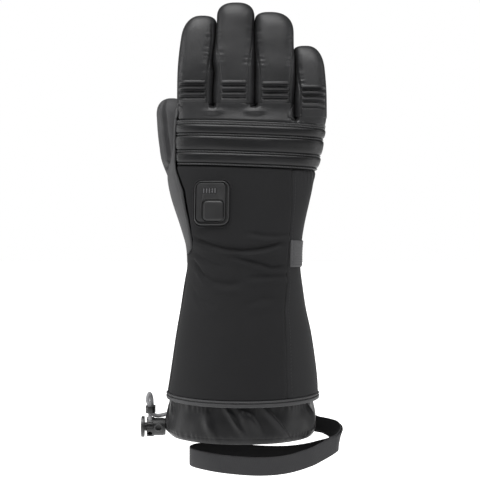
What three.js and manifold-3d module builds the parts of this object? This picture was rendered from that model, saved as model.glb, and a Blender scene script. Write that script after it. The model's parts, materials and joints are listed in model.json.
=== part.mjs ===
// A right-hand heated gauntlet glove, held upright with its fingers up.
// Millimetres. +Z runs up the fingers, the back of the hand faces -Y and the thumb is at -X.
// The origin is the middle of the wrist.
import * as THREE from 'three';
import { mergeVertices } from 'three/addons/utils/BufferGeometryUtils.js';
import Module from 'manifold-3d';

const wasm = await Module();
wasm.setup();

// Hand and gauntlet
const handLength = 122.7;
const gauntletLength = 111;
const knuckleDepth = 44;
const wristWidth = 93.5;
const wristDepth = 62;
const cuffWidth = 123.3;
const cuffDepth = 90;
const paddedWall = 3;
const littleFingerDrop = 11;

// Fingers, from their roots to their tips
const fingerDepth = 27;
const fingerGap = 0.5;
const tuckHeight = 1.1;
const tuckPitch = 4.9;
const indexWidth = 29;
const indexLength = 74.4;
const indexLean = 5.7;
const middleWidth = 33.7;
const middleLength = 85.2;
const middleLean = 2.4;
const ringWidth = 31.7;
const ringLength = 77.4;
const ringLean = -2.2;
const littleWidth = 26.3;
const littleLength = 60.6;
const littleLean = -3;
const leanPower = 3;
const middleTaper = 0.03;
const taperEnd = 0.6;
const tucksHeight = 7.3;
const ringTucksHeight = 6.3;
const littleTucksHeight = 14.6;
const fingerCurl = 8;
const fingerSetBack = 2.2;

// Thumb
const thumbWidth = 31;
const thumbDepth = 28;
const thumbLength = 92;

// Panels on the back of the hand
const seamGap = 0.3;
const panelSlope = 0.035;
const stripHeight = 3.8;
const channelHeights = [9.2, 13.7, 10.3];
const yokeHeight = 14.7;
const channelPuff = 2.2;

// Wrist band
const bandHeight = 21.5;
const bandThickness = 1.6;
const bandMiddle = 1.3;

// Control on the back
const padWidth = 28;
const padHeight = 35.5;
const padRise = 2.6;
const padCorner = 6;
const padAcross = -25.7;
const padBelow = 11.6;
const weltWidth = 1.7;
const buttonSize = 17;
const buttonCorner = 3.2;
const buttonRecess = 1.4;
const buttonDown = 6.5;
const buttonAcross = 2;
const buttonProud = 0.3;
const barWidth = 1;
const barHeight = 4.2;
const barPitch = 2.3;
const barCount = 5;
const barRise = 0.5;
const barDepth = 0.8;
const pocketClearance = 0.4;
const weltRise = 1;

// Cuff trim and snow skirt
const trimHeight = 5.2;
const pipingProud = 1;
const skirtDrop = 30;
const skirtWall = 1;
const skirtInset = 2.2;
const gatherCount = 12;
const gatherDepth = 1;
const tabReach = 2.4;

// Leash
const strapWidth = 14.5;
const strapThickness = 1.3;
const leashHang = 19.2;

// Drawcord and its lock
const cordDiameter = 3.2;
const cordClearance = 0.45;
const discDiameter = 17;
const discThickness = 2.3;
const barrelDiameter = 13;
const barrelLength = 5.2;
const neckDiameter = 11;
const neckLength = 8.2;
const stemDiameter = 7;
const stemLength = 8.2;
const plungerTravel = 2;
const plungerClearance = 0.4;
const clipHeight = 5.6;
const clipWall = 1;
const lockDown = 0.794;

// Colours of the finishes
const softshell = { color: 0x2b2b2c, roughness: 0.85, metalness: 0 };
const gussetShell = { color: 0x303031, roughness: 0.85, metalness: 0 };
const upperLeather = { color: 0x3c3c3d, roughness: 0.5, metalness: 0 };
const channelLeather = { color: 0x2e2e2f, roughness: 0.42, metalness: 0 };
const palmLeather = { color: 0x4c4c4d, roughness: 0.6, metalness: 0 };
const elasticWebbing = { color: 0x545455, roughness: 0.8, metalness: 0 };
const mouldedRubber = { color: 0x363637, roughness: 0.55, metalness: 0 };
const printedMark = { color: 0x6a6a6b, roughness: 0.5, metalness: 0 };
const greyBinding = { color: 0x606061, roughness: 0.6, metalness: 0 };
const nylon = { color: 0x323233, roughness: 0.6, metalness: 0 };
const webbing = { color: 0x414142, roughness: 0.8, metalness: 0 };
const elasticCord = { color: 0x7c7c7d, roughness: 0.8, metalness: 0 };
const lockPlastic = { color: 0x262627, roughness: 0.45, metalness: 0 };

// Fineness of the faceted surfaces
const handSides = 24;
const fingerSides = 12;
const skirtSides = 48;
const roundSides = 16;
const cordSides = 8;
const cordSteps = 30;
const strapStepsPerPlace = 2;
const far = 400;

const fingers = [
  {
    name: 'finger_index',
    width: indexWidth,
    length: indexLength,
    lean: indexLean,
    taper: 0,
    tucksAt: tucksHeight,
    drop: 0,
  },
  {
    name: 'finger_middle',
    width: middleWidth,
    length: middleLength,
    lean: middleLean,
    taper: middleTaper,
    tucksAt: tucksHeight,
    drop: 0,
  },
  {
    name: 'finger_ring',
    width: ringWidth,
    length: ringLength,
    lean: ringLean,
    taper: 0,
    tucksAt: ringTucksHeight,
    drop: 0,
  },
  {
    name: 'finger_little',
    width: littleWidth,
    length: littleLength,
    lean: littleLean,
    taper: 0,
    tucksAt: littleTucksHeight,
    drop: littleFingerDrop,
  },
];

const glove = new THREE.Group();

function mix(a, b, share) {
  return a + (b - a) * share;
}

function solid(geometry) {
  const bare = geometry.clone();
  bare.deleteAttribute('normal');
  bare.deleteAttribute('uv');
  const merged = mergeVertices(bare, 1e-4);
  const vertProperties = merged.getAttribute('position').array;
  const triVerts = new Uint32Array(merged.getIndex().array);
  return new wasm.Manifold(new wasm.Mesh({ numProp: 3, vertProperties, triVerts }));
}

function addPiece(name, body, finish) {
  const mesh = body.getMesh();
  const geometry = new THREE.BufferGeometry();
  geometry.setAttribute('position', new THREE.BufferAttribute(new Float32Array(mesh.vertProperties), 3));
  geometry.setIndex(new THREE.BufferAttribute(new Uint32Array(mesh.triVerts), 1));
  geometry.computeVertexNormals();
  const piece = new THREE.Mesh(geometry, new THREE.MeshStandardMaterial(finish));
  piece.name = name;
  glove.add(piece);
}

// A closed skin through rings of equal length, each ring counter-clockwise seen from where the rings lead
function loft(rings) {
  const sides = rings[0].length;
  const points = rings.flat();
  const faces = [];
  for (let row = 0; row + 1 < rings.length; row += 1) {
    for (let side = 0; side < sides; side += 1) {
      const here = row * sides + side;
      const next = row * sides + ((side + 1) % sides);
      faces.push(here, next, next + sides, here, next + sides, here + sides);
    }
  }
  const middle = (ring) => ring.reduce((sum, p) => sum.add(p), new THREE.Vector3()).divideScalar(sides);
  const start = points.length;
  points.push(middle(rings[0]), middle(rings.at(-1)));
  const lastRow = (rings.length - 1) * sides;
  for (let side = 0; side < sides; side += 1) {
    const next = (side + 1) % sides;
    faces.push(start, next, side, start + 1, lastRow + side, lastRow + next);
  }
  const geometry = new THREE.BufferGeometry().setFromPoints(points);
  geometry.setIndex(faces);
  return geometry;
}

// A rounded-square ring: power 2 is an ellipse and more is squarer, and each side has its own reach
function ringPoints(section, sides) {
  const points = [];
  for (let side = 0; side < sides; side += 1) {
    const angle = (2 * Math.PI * side) / sides;
    const square = (value) => Math.sign(value) * Math.abs(value) ** (2 / section.power);
    const across = mix(-section.left, section.right, (1 + square(Math.cos(angle))) / 2);
    const deep = square(Math.sin(angle));
    points.push({ x: across, y: deep * (deep > 0 ? section.palm : section.back), angle });
  }
  return points;
}

function grown(section, offset) {
  const { left, right, back, palm } = section;
  return { ...section, left: left + offset, right: right + offset, back: back + offset, palm: palm + offset };
}

function tube(radius, length) {
  return new THREE.CylinderGeometry(radius, radius, length, roundSides);
}

function block(low, high) {
  const size = high.map((value, axis) => value - low[axis]);
  return new THREE.BoxGeometry(...size).translate(...low.map((value, axis) => value + size[axis] / 2));
}

function extruded(shape, depth) {
  return new THREE.ExtrudeGeometry(shape, { depth, bevelEnabled: false, steps: 1, curveSegments: 3 });
}

function polygon(corners) {
  return new THREE.Shape(corners.map(([x, y]) => new THREE.Vector2(x, y)));
}

function roundedShape(width, height, corner, x, y) {
  const shape = new THREE.Shape();
  const halfX = width / 2 - corner;
  const halfY = height / 2 - corner;
  shape.absarc(x + halfX, y - halfY, corner, -Math.PI / 2, 0);
  shape.absarc(x + halfX, y + halfY, corner, 0, Math.PI / 2);
  shape.absarc(x - halfX, y + halfY, corner, Math.PI / 2, Math.PI);
  shape.absarc(x - halfX, y - halfY, corner, Math.PI, 1.5 * Math.PI);
  return shape;
}

// All that lies behind an outline drawn in X and Z, through the whole depth
function throughDepth(corners) {
  return solid(extruded(polygon(corners), 2 * far).rotateX(Math.PI / 2).translate(0, far, 0));
}

// All that lies over and under an outline drawn in X and Y
function throughHeight(corners) {
  return solid(extruded(polygon(corners), 2 * far).translate(0, 0, -far));
}

// Rows of the hand, from the webs to the wrist. up: share of handLength. spread: 0 is the wrist's size, 1 the knuckles'.
// The other columns are shares of the half width or half depth at that spread.
const handRows = [
  { up: 1.0, spread: 1.0, thumbSide: 0.905, littleSide: 1.095, back: 0.77, palm: 0.6, power: 3.4 },
  { up: 0.95, spread: 1.0, thumbSide: 0.91, littleSide: 1.1, back: 0.86, palm: 0.72, power: 3.1 },
  { up: 0.86, spread: 1.0, thumbSide: 0.93, littleSide: 1.08, back: 0.94, palm: 0.88, power: 2.8 },
  { up: 0.76, spread: 0.95, thumbSide: 0.955, littleSide: 1.06, back: 0.98, palm: 0.96, power: 2.6 },
  { up: 0.634, spread: 0.85, thumbSide: 1.022, littleSide: 1.04, back: 0.97, palm: 1.07, power: 2.5 },
  { up: 0.54, spread: 0.72, thumbSide: 1.1, littleSide: 1.02, back: 0.95, palm: 1.13, power: 2.5 },
  { up: 0.44, spread: 0.6, thumbSide: 1.107, littleSide: 1.01, back: 0.97, palm: 1.15, power: 2.5 },
  { up: 0.16, spread: 0.17, thumbSide: 1.038, littleSide: 0.985, back: 1.0, palm: 1.04, power: 2.4 },
  { up: 0.06, spread: 0.05, thumbSide: 1.007, littleSide: 0.988, back: 1.01, palm: 1.01, power: 2.4 },
];

// Rows of the gauntlet, from the wrist to the cuff. down: share of gauntletLength. spread: 1 is the cuff's size.
const gauntletRows = [
  { down: 0.067, spread: 0.0, thumbSide: 1.005, power: 2.35 },
  { down: 0.185, spread: 0.084, thumbSide: 1.012, power: 2.3 },
  { down: 0.39, spread: 0.31, thumbSide: 1.013, power: 2.25 },
  { down: 0.59, spread: 0.594, thumbSide: 1.004, power: 2.2 },
  { down: 0.91, spread: 0.93, thumbSide: 1.008, power: 2.1 },
  { down: 1.0, spread: 1.0, thumbSide: 1.017, power: 2.1 },
];

const fingerWidths = fingers.map((finger) => finger.width);
const halfKnuckles = (fingerWidths.reduce((sum, width) => sum + width) + fingerGap * 3) / 2;
const knuckleShift = halfKnuckles * 0.105;

function handSection(row) {
  const half = mix(wristWidth / 2, halfKnuckles, row.spread);
  const deep = mix(wristDepth, knuckleDepth, row.spread) / 2;
  const { thumbSide, littleSide, power } = row;
  const z = row.up * handLength;
  return { z, left: half * thumbSide, right: half * littleSide, back: deep * row.back, palm: deep * row.palm, power };
}

function gauntletSection(row) {
  const half = mix(wristWidth, cuffWidth, row.spread) / 2;
  const deep = mix(wristDepth, cuffDepth, row.spread) / 2;
  const { thumbSide, power } = row;
  const z = -row.down * gauntletLength;
  return { z, left: half * thumbSide, right: half * (2 - thumbSide), back: deep, palm: deep, power };
}

// From the cuff up to the webs
const sections = [...handRows.map(handSection), ...gauntletRows.map(gauntletSection)].reverse();
const cuffSection = sections[0];

// A row of a table at a place between its rows, which rise by the named column
function rowBetween(rows, key, at) {
  const found = rows.findIndex((row) => row[key] > at);
  const above = found < 0 ? rows.length - 1 : Math.max(1, found);
  const low = rows[above - 1];
  const high = rows[above];
  const share = Math.min(1, Math.max(0, (at - low[key]) / (high[key] - low[key])));
  return Object.fromEntries(Object.keys(low).map((name) => [name, mix(low[name], high[name], share)]));
}

function sectionAt(z) {
  return rowBetween(sections, 'z', z);
}

function flatRing(section, z, sides) {
  return ringPoints(section, sides).map(({ x, y }) => new THREE.Vector3(x, y, z));
}

const ringFingerEdge = knuckleShift + halfKnuckles - fingers[3].width - fingerGap / 2;

// The hand and gauntlet as one solid whose skin lies the offset outside the glove's own
function handSolid(offset) {
  const open = offset === 0 ? 0 : 1;
  const rings = sections.map((section, row) => {
    const atCuff = row === 0 ? -open : 0;
    const atWebs = row === sections.length - 1 ? offset : 0;
    return flatRing(grown(section, offset), section.z + atCuff + atWebs, handSides);
  });
  const step = handLength - littleFingerDrop + offset;
  return solid(loft(rings)).subtract(solid(block([ringFingerEdge + offset, -far, step], [far, far, far])));
}

// Rows of a finger from root to tip. along: share of its length. width and depth: shares of its own.
const fingerRows = [
  { along: 0.0, width: 1.0, depth: 1.0 },
  { along: 0.3, width: 1.0, depth: 1.0 },
  { along: 0.6, width: 0.97, depth: 0.96 },
  { along: 0.74, width: 0.955, depth: 0.93 },
  { along: 0.84, width: 0.92, depth: 0.87 },
  { along: 0.92, width: 0.79, depth: 0.72 },
  { along: 0.972, width: 0.53, depth: 0.48 },
  { along: 1.0, width: 0.2, depth: 0.2 },
];

function fingerRoot(finger) {
  return handLength - finger.drop + seamGap;
}

function fingerMiddle(index) {
  const before = fingerWidths.slice(0, index).reduce((sum, width) => sum + width + fingerGap, 0);
  return knuckleShift - halfKnuckles + before + fingerWidths[index] / 2;
}

function fingerRing(index, along, offset, z, tuck) {
  const finger = fingers[index];
  const { width, depth } = rowBetween(fingerRows, 'along', along);
  const least = 1;
  const narrowed = 1 - finger.taper * Math.min(1, along / taperEnd);
  const half = Math.max(least, (finger.width * width * narrowed) / 2 + offset);
  const deep = Math.max(least, (fingerDepth * depth) / 2 + offset);
  const x = fingerMiddle(index) + finger.lean * along ** leanPower;
  const y = fingerCurl * along ** 2 - fingerSetBack;
  const section = { left: half, right: half, back: deep + tuck, palm: deep, power: mix(2.8, 2.2, along) };
  return ringPoints(section, fingerSides).map((p) => new THREE.Vector3(x + p.x, y + p.y, z));
}

// Heights where a finger's outer skin has a ring, with the rise of the tucks on its back
function fingerStations(finger) {
  const stations = [{ along: 0, rise: 0 }];
  for (let half = -1; half <= 5; half += 1) {
    const height = finger.tucksAt + (half * tuckPitch) / 2;
    stations.push({ along: height / finger.length, rise: half % 2 === 0 ? tuckHeight : 0 });
  }
  const tucksEnd = stations.at(-1).along;
  const beyond = fingerRows.filter((row) => row.along > tucksEnd + 0.05);
  return [...stations, ...beyond.map((row) => ({ along: row.along, rise: 0 }))];
}

function fingerOuter(index) {
  const finger = fingers[index];
  const place = ({ along, rise }) => fingerRing(index, along, 0, fingerRoot(finger) + along * finger.length, rise);
  return solid(loft(fingerStations(finger).map(place)));
}

function fingerHollow(index) {
  const finger = fingers[index];
  const reach = finger.length - paddedWall;
  const rings = fingerRows.map((row) => {
    const z = fingerRoot(finger) + row.along * reach;
    return fingerRing(index, row.along, -paddedWall, row.along === 0 ? z - 2 * paddedWall : z, 0);
  });
  return solid(loft(rings));
}

// Rows of the thumb. out: share of the knuckles' half width. forward: share of knuckleDepth.
const thumbRows = [
  { along: 0.0, out: 0.62, forward: 0.3, size: 0.8 },
  { along: 0.25, out: 0.77, forward: 0.4, size: 1.03 },
  { along: 0.41, out: 0.87, forward: 0.52, size: 1.02 },
  { along: 0.55, out: 0.91, forward: 0.62, size: 1.0 },
  { along: 0.68, out: 0.94, forward: 0.7, size: 0.99 },
  { along: 0.84, out: 0.965, forward: 0.78, size: 0.94 },
  { along: 0.93, out: 0.985, forward: 0.82, size: 0.76 },
  { along: 0.98, out: 1.01, forward: 0.84, size: 0.46 },
  { along: 1.0, out: 1.02, forward: 0.845, size: 0.16 },
];
const thumbRoot = handLength * 0.334;

function thumbSolid(offset) {
  const rings = thumbRows.map((row) => {
    const half = Math.max(1, (thumbWidth * row.size) / 2 + offset);
    const deep = Math.max(1, (thumbDepth * row.size) / 2 + offset);
    const x = -halfKnuckles * row.out;
    const y = knuckleDepth * row.forward;
    const z = thumbRoot + row.along * (thumbLength + offset);
    const points = ringPoints({ left: half, right: half, back: deep, palm: deep, power: 2.3 }, fingerSides);
    return points.map((p) => new THREE.Vector3(x + p.x, y + p.y, z));
  });
  return solid(loft(rings));
}

const handOuter = handSolid(0);
const handClear = handSolid(seamGap);
const hollows = fingers.map((finger, index) => fingerHollow(index));
const thumbHollow = thumbSolid(-paddedWall);

function cutAway(body, cutters) {
  return cutters.reduce((left, cutter) => left.subtract(cutter), body);
}

const handHollow = handSolid(-paddedWall);
const handShell = cutAway(handOuter, [handHollow, ...hollows, thumbHollow]);

fingers.forEach((finger, index) => {
  addPiece(finger.name, fingerOuter(index).subtract(hollows[index]), upperLeather);
});
addPiece('thumb', cutAway(thumbSolid(0), [thumbHollow, handClear]), palmLeather);

// The back and the palm part along a plane that lets the palm wrap round at the thumb's side
const wrapTilt = 0.164;
const towardsBack = -1;
const towardsPalm = 1;
function halfSpace(side) {
  const edge = wrapTilt * far;
  const shift = (side * seamGap) / 2;
  return throughHeight([[-far, shift - edge], [far, shift + edge], [far, side * far], [-far, side * far]]);
}

// The seam where the palm's leather wraps on to the back at the thumb's side. across: share of the reach there.
const thumbSeam = [
  { up: 0.01, across: 0.88 },
  { up: 0.14, across: 0.855 },
  { up: 0.28, across: 0.83 },
  { up: 0.42, across: 0.81 },
  { up: 0.5, across: 0.845 },
  { up: 0.62, across: 0.925 },
  { up: 0.75, across: 0.975 },
  { up: 1.1, across: 0.985 },
];
function thumbStrip(shift) {
  const line = thumbSeam.map(({ up, across }) => [-sectionAt(up * handLength).left * across + shift, up * handLength]);
  const top = [-far, thumbSeam.at(-1).up * handLength];
  return throughDepth([...line, top, [-far, thumbSeam[0].up * handLength - 2 * shift]]);
}
const backCut = thumbStrip(seamGap / 2);
const backHalf = handShell.intersect(halfSpace(towardsBack)).subtract(backCut);
const palmHalf = handShell.intersect(halfSpace(towardsPalm).add(thumbStrip(-seamGap / 2)));

// Slanted lines across the back, given by their height over the middle of the wrist
function slanted(level, x) {
  return level - panelSlope * x;
}
function between(lowLevel, highLevel, fromX, toX) {
  const corners = [[fromX, lowLevel], [toX, lowLevel], [toX, highLevel], [fromX, highLevel]];
  return throughDepth(corners.map(([x, level]) => [x, slanted(level, x)]));
}
const channelsHeight = channelHeights.reduce((sum, height) => sum + height);
const knuckleTop = handLength - yokeHeight;
const knuckleBottom = knuckleTop - stripHeight - channelsHeight;

addPiece('hand_yoke', backHalf.intersect(between(knuckleTop + seamGap / 2, far, -far, far)), upperLeather);

// One ring of the knuckle panel's puffed skin along a slanted line
function slantedRing(level, offset) {
  return ringPoints(sectionAt(level), handSides).map((point, side) => {
    let { x, y } = point;
    let z = level;
    for (let pass = 0; pass < 3; pass += 1) {
      z = slanted(level, x);
      ({ x, y } = ringPoints(grown(sectionAt(z), offset), handSides)[side]);
    }
    return new THREE.Vector3(x, y, z);
  });
}

// Rises across one channel, as shares of its height and of channelPuff
const channelRows = [
  { along: 0.0, rise: 0.1 },
  { along: 0.2, rise: 0.72 },
  { along: 0.5, rise: 1.0 },
  { along: 0.8, rise: 0.72 },
];
const stripRows = [
  { along: 0.0, rise: 0.1 },
  { along: 0.25, rise: 0.35 },
  { along: 0.9, rise: 0.35 },
];

function knucklePanel() {
  const rings = [slantedRing(knuckleBottom - 1, 0)];
  let level = knuckleBottom;
  [...channelHeights].reverse().forEach((height) => {
    channelRows.forEach((row) => rings.push(slantedRing(level + row.along * height, row.rise * channelPuff)));
    level += height;
  });
  stripRows.forEach((row) => rings.push(slantedRing(level + row.along * stripHeight, row.rise * channelPuff)));
  rings.push(slantedRing(knuckleTop + 1, 0));
  const skin = cutAway(solid(loft(rings)), [handHollow, ...hollows]);
  return skin.intersect(halfSpace(towardsBack)).subtract(backCut);
}
const knuckleArea = between(knuckleBottom + seamGap / 2, knuckleTop - seamGap / 2, -far, far);
addPiece('knuckle_panel', knucklePanel().intersect(knuckleArea), channelLeather);

// The seam between the back panel and the side gusset. across: share of the reach at the little finger's side.
const sideSeam = [
  { height: 0.8, across: 0.571 },
  { height: 0.3, across: 0.735 },
  { height: 0.1, across: 0.78 },
  { height: -0.2, across: 0.735 },
  { height: -0.4, across: 0.64 },
  { height: -0.8, across: 0.565 },
  { height: -1.3, across: 0.55 },
];
function sideSeamLine(shift) {
  return sideSeam.map(({ height, across }) => {
    const z = height * (height > 0 ? handLength : gauntletLength);
    return [sectionAt(z).right * across + shift, z];
  });
}
const underKnuckles = backHalf.intersect(between(-far, knuckleBottom - seamGap / 2, -far, far));
function besideSeam(side) {
  const line = sideSeamLine((side * seamGap) / 2);
  return throughDepth([...line, [side * far, line.at(-1)[1]], [side * far, line[0][1]]]);
}
addPiece('back_panel', underKnuckles.intersect(besideSeam(-1)), softshell);
addPiece('side_gusset', underKnuckles.intersect(besideSeam(1)), gussetShell);

const palmTop = solid(block([-far, -far, bandMiddle + seamGap / 2], [far, far, far]));
const palmLow = solid(block([-far, -far, -far], [far, far, bandMiddle - seamGap / 2]));
addPiece('palm_panel', palmHalf.intersect(palmTop), palmLeather);
addPiece('gauntlet_underside', palmHalf.intersect(palmLow), softshell);

// The band starts at the side seam, runs round the little finger's side and over the palm. Shares of the wrist's reach.
const bandStart = 0.79;
const bandEnd = 0.86;
function wristBand() {
  const seamAcross = sectionAt(bandMiddle).right * bandStart;
  const reach = solid(block([-far, -far, bandMiddle - bandHeight / 2], [far, far, bandMiddle + bandHeight / 2]));
  const palmEnd = -sectionAt(bandMiddle).left * bandEnd;
  const corner = [[seamAcross, -far], [far, -far], [far, far], [palmEnd, far], [palmEnd, 0], [seamAcross, 0]];
  const band = handSolid(seamGap + bandThickness).subtract(handClear);
  return band.intersect(reach).intersect(throughHeight(corner));
}
addPiece('wrist_band', wristBand(), elasticWebbing);

const padUp = knuckleBottom - padBelow - padHeight / 2;

// How far the back of the glove stands out at a place
function backSurface(x, z) {
  const { left, right, back, power } = sectionAt(z);
  const middle = (right - left) / 2;
  const share = Math.min(1, Math.abs(x - middle) / ((left + right) / 2));
  return -back * (1 - share ** power) ** (1 / power);
}

// Puts a shape drawn face up onto the back of the glove, leaning as the glove's surface does there
function onBack(geometry) {
  const reach = padWidth * 0.35;
  const here = new THREE.Vector3(padAcross, backSurface(padAcross, padUp), padUp);
  const aside = new THREE.Vector3(padAcross + reach, backSurface(padAcross + reach, padUp), padUp);
  const asideBack = new THREE.Vector3(padAcross - reach, backSurface(padAcross - reach, padUp), padUp);
  const over = new THREE.Vector3(padAcross, backSurface(padAcross, padUp + reach), padUp + reach);
  const under = new THREE.Vector3(padAcross, backSurface(padAcross, padUp - reach), padUp - reach);
  const right = aside.sub(asideBack).normalize();
  const up = over.sub(under).normalize();
  const out = right.clone().cross(up).normalize();
  const straightUp = out.clone().cross(right).normalize();
  const place = new THREE.Matrix4().makeBasis(right, straightUp, out).setPosition(here);
  return geometry.applyMatrix4(place);
}

function roundedBlock(width, height, corner, low, high, x = 0, y = 0) {
  const shape = roundedShape(width, height, corner, x, y);
  return solid(onBack(extruded(shape, high - low).translate(0, 0, low)));
}

const barsUp = padHeight * 0.345;
const barTop = padRise + barRise;
const barFloor = padRise - barDepth;
function barAt(index, gap) {
  const x = -0.06 * padWidth + (index - (barCount - 1) / 2) * barPitch;
  const half = [barWidth / 2 + gap, barHeight / 2 + gap];
  const low = barFloor + (gap === 0 ? seamGap : 0);
  const high = barTop + (gap === 0 ? 0 : 1);
  return solid(onBack(block([x - half[0], barsUp - half[1], low], [x + half[0], barsUp + half[1], high])));
}

function buttonAt(gap) {
  const low = padRise - buttonRecess + (gap === 0 ? seamGap : 0);
  const size = buttonSize + 2 * gap;
  const high = padRise + buttonProud + (gap === 0 ? 0 : 1);
  return roundedBlock(size, size, buttonCorner + gap, low, high, buttonAcross, -buttonDown);
}

const padFoot = -6;
const bars = Array.from({ length: barCount }, (none, index) => index);
const padPockets = [buttonAt(pocketClearance), ...bars.map((index) => barAt(index, pocketClearance))];
addPiece('control_pad', cutAway(roundPad(0, padFoot, padRise), [handClear, ...padPockets]), mouldedRubber);
function roundPad(offset, low, high) {
  return roundedBlock(padWidth + 2 * offset, padHeight + 2 * offset, padCorner + offset, low, high);
}
const weltOuter = roundPad(weltWidth + seamGap, padFoot, weltRise);
const weltInner = roundPad(seamGap, padFoot - 1, weltRise + 1);
addPiece('pad_welt', cutAway(weltOuter, [weltInner, handClear]), softshell);
addPiece('power_button', buttonAt(0), mouldedRubber);
bars.forEach((index) => addPiece(`indicator_bar_${index + 1}`, barAt(index, 0), printedMark));

// Profile of the trim below the cuff. down: share of trimHeight. proud: share of pipingProud.
const trimRows = [
  { down: 0.0, proud: 0.0 },
  { down: 0.12, proud: 0.9 },
  { down: 0.26, proud: 0.9 },
  { down: 0.38, proud: 0.1 },
  { down: 0.5, proud: 0.8 },
  { down: 0.88, proud: 0.8 },
  { down: 1.0, proud: 0.2 },
];
const trimTop = -gauntletLength - seamGap;
const trimBottom = trimTop - trimHeight;

function cuffTrim() {
  const rings = trimRows.map(({ down, proud }) => {
    return flatRing(grown(cuffSection, proud * pipingProud), trimTop - down * trimHeight, handSides);
  });
  const inside = grown(cuffSection, -paddedWall);
  const hole = loft([flatRing(inside, trimBottom - 1, handSides), flatRing(inside, trimTop + 1, handSides)]);
  return solid(loft(rings.reverse())).subtract(solid(hole));
}
addPiece('cuff_trim', cuffTrim(), greyBinding);

// Rows of the snow skirt. down: share of skirtDrop. out: share of skirtInset. folds: share of gatherDepth.
const skirtRows = [
  { down: 0.0, out: 0.0, folds: 0.25, tab: 0.0 },
  { down: 0.22, out: 0.35, folds: 0.9, tab: 0.0 },
  { down: 0.45, out: 0.75, folds: 1.0, tab: 0.35 },
  { down: 0.66, out: 0.9, folds: 1.0, tab: 0.9 },
  { down: 0.84, out: 0.7, folds: 0.8, tab: 1.0 },
  { down: 0.93, out: 0.2, folds: 0.45, tab: 0.55 },
  { down: 1.0, out: -0.6, folds: 0.3, tab: 0.0 },
];
const skirtTop = trimBottom - seamGap;
const foldSlant = 2.6;
const tabAngle = 0.16;

function skirtOffset(row, angle, inward) {
  const wave = Math.sin(gatherCount * angle + foldSlant * row.down) * gatherDepth * row.folds;
  const aside = (angle - Math.PI) / tabAngle;
  const tab = tabReach * row.tab * Math.exp(-(aside ** 2));
  return skirtInset * (row.out - 1) + wave + tab - inward;
}

// The skirt's rings from the hem up, with its skin this far inward and its ends this far further out
function skirtRings(inward, open) {
  return [...skirtRows].reverse().map((row) => {
    const beyond = row.down === 0 ? open : row.down === 1 ? -open : 0;
    const z = skirtTop - row.down * skirtDrop + beyond;
    return Array.from({ length: skirtSides }, (none, side) => {
      const angle = (2 * Math.PI * side) / skirtSides;
      const { x, y } = ringPoints(grown(cuffSection, skirtOffset(row, angle, inward)), skirtSides)[side];
      return new THREE.Vector3(x, y, z);
    });
  });
}
const skirtOuter = skirtRings(0, 0);
addPiece('snow_skirt', solid(loft(skirtOuter)).subtract(solid(loft(skirtRings(skirtWall, 1)))), nylon);

// The leash leaves the skirt's palm side as two layers, turns round at the little finger's side and opens to a loop.
// across and deep: shares of the half width and depth where both layers just clear the skirt's folds.
// down: share of leashDrop below the cuff. lean: how far the strap's upper edge tips outwards, in degrees.
const leashDrop = trimHeight + skirtDrop + 2 * seamGap + leashHang;
const leashAway = gatherDepth + 1.5 * strapThickness + 2 * seamGap;
const leashPair = [
  { across: 0.128, deep: 0.957, down: 0.47, lean: 0 },
  { across: 0.473, deep: 0.913, down: 0.49, lean: 3 },
  { across: 0.729, deep: 0.774, down: 0.53, lean: 18 },
  { across: 0.946, deep: 0.612, down: 0.58, lean: 50 },
  { across: 1.087, deep: 0.445, down: 0.595, lean: 52 },
  { across: 1.189, deep: 0.241, down: 0.62, lean: 38 },
  { across: 1.234, deep: 0.019, down: 0.69, lean: 20 },
  { across: 1.202, deep: -0.158, down: 0.75, lean: 8 },
  { across: 1.093, deep: -0.264, down: 0.79, lean: 3 },
];
const leashLoop = [
  { across: 0.965, deep: -0.422, down: 0.85 },
  { across: 0.825, deep: -0.556, down: 0.905 },
  { across: 0.518, deep: -0.723, down: 0.98 },
  { across: 0.192, deep: -0.793, down: 1.0 },
  { across: -0.224, deep: -0.769, down: 0.97 },
  { across: -0.492, deep: -0.64, down: 0.94 },
  { across: -0.646, deep: -0.436, down: 0.927 },
  { across: -0.678, deep: -0.25, down: 0.92 },
  { across: -0.607, deep: -0.083, down: 0.91 },
  { across: -0.435, deep: 0.019, down: 0.91 },
  { across: -0.23, deep: 0.06, down: 0.92 },
  { across: 0.205, deep: 0.083, down: 0.965 },
  { across: 0.55, deep: -0.009, down: 0.955 },
  { across: 0.78, deep: -0.13, down: 0.905 },
  { across: 0.952, deep: -0.218, down: 0.845 },
];

function leashPoint({ across, deep, down }) {
  const x = across * (cuffSection.right + leashAway);
  const y = deep * (cuffSection.palm + leashAway);
  return new THREE.Vector3(x, y, -gauntletLength - down * leashDrop);
}

// Which way the strap's upper edge points, square to the way it runs
function strapUp(along, lean) {
  const up = new THREE.Vector3(0, 0, 1);
  const outwards = up.clone().cross(along).normalize();
  const turn = THREE.MathUtils.degToRad(lean);
  const edge = up.multiplyScalar(Math.cos(turn)).addScaledVector(outwards, Math.sin(turn));
  return edge.addScaledVector(along, -edge.dot(along)).normalize();
}

function leashStations() {
  const pair = leashPair.map(leashPoint);
  const layers = pair.map((point, index) => {
    const along = pair[Math.min(index + 1, pair.length - 1)].clone().sub(pair[Math.max(index - 1, 0)]).normalize();
    const up = strapUp(along, leashPair[index].lean);
    const inwards = along.clone().cross(up).multiplyScalar((strapThickness + 2 * seamGap) / 2);
    return { up, outer: point.clone().sub(inwards), inner: point.clone().add(inwards) };
  });
  const upright = new THREE.Vector3(0, 0, 1);
  return [
    ...layers.map(({ up, outer }) => ({ up, centre: outer })),
    ...leashLoop.map((row) => ({ up: upright, centre: leashPoint(row) })),
    ...layers.map(({ up, inner }) => ({ up, centre: inner })).reverse(),
  ];
}

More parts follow.
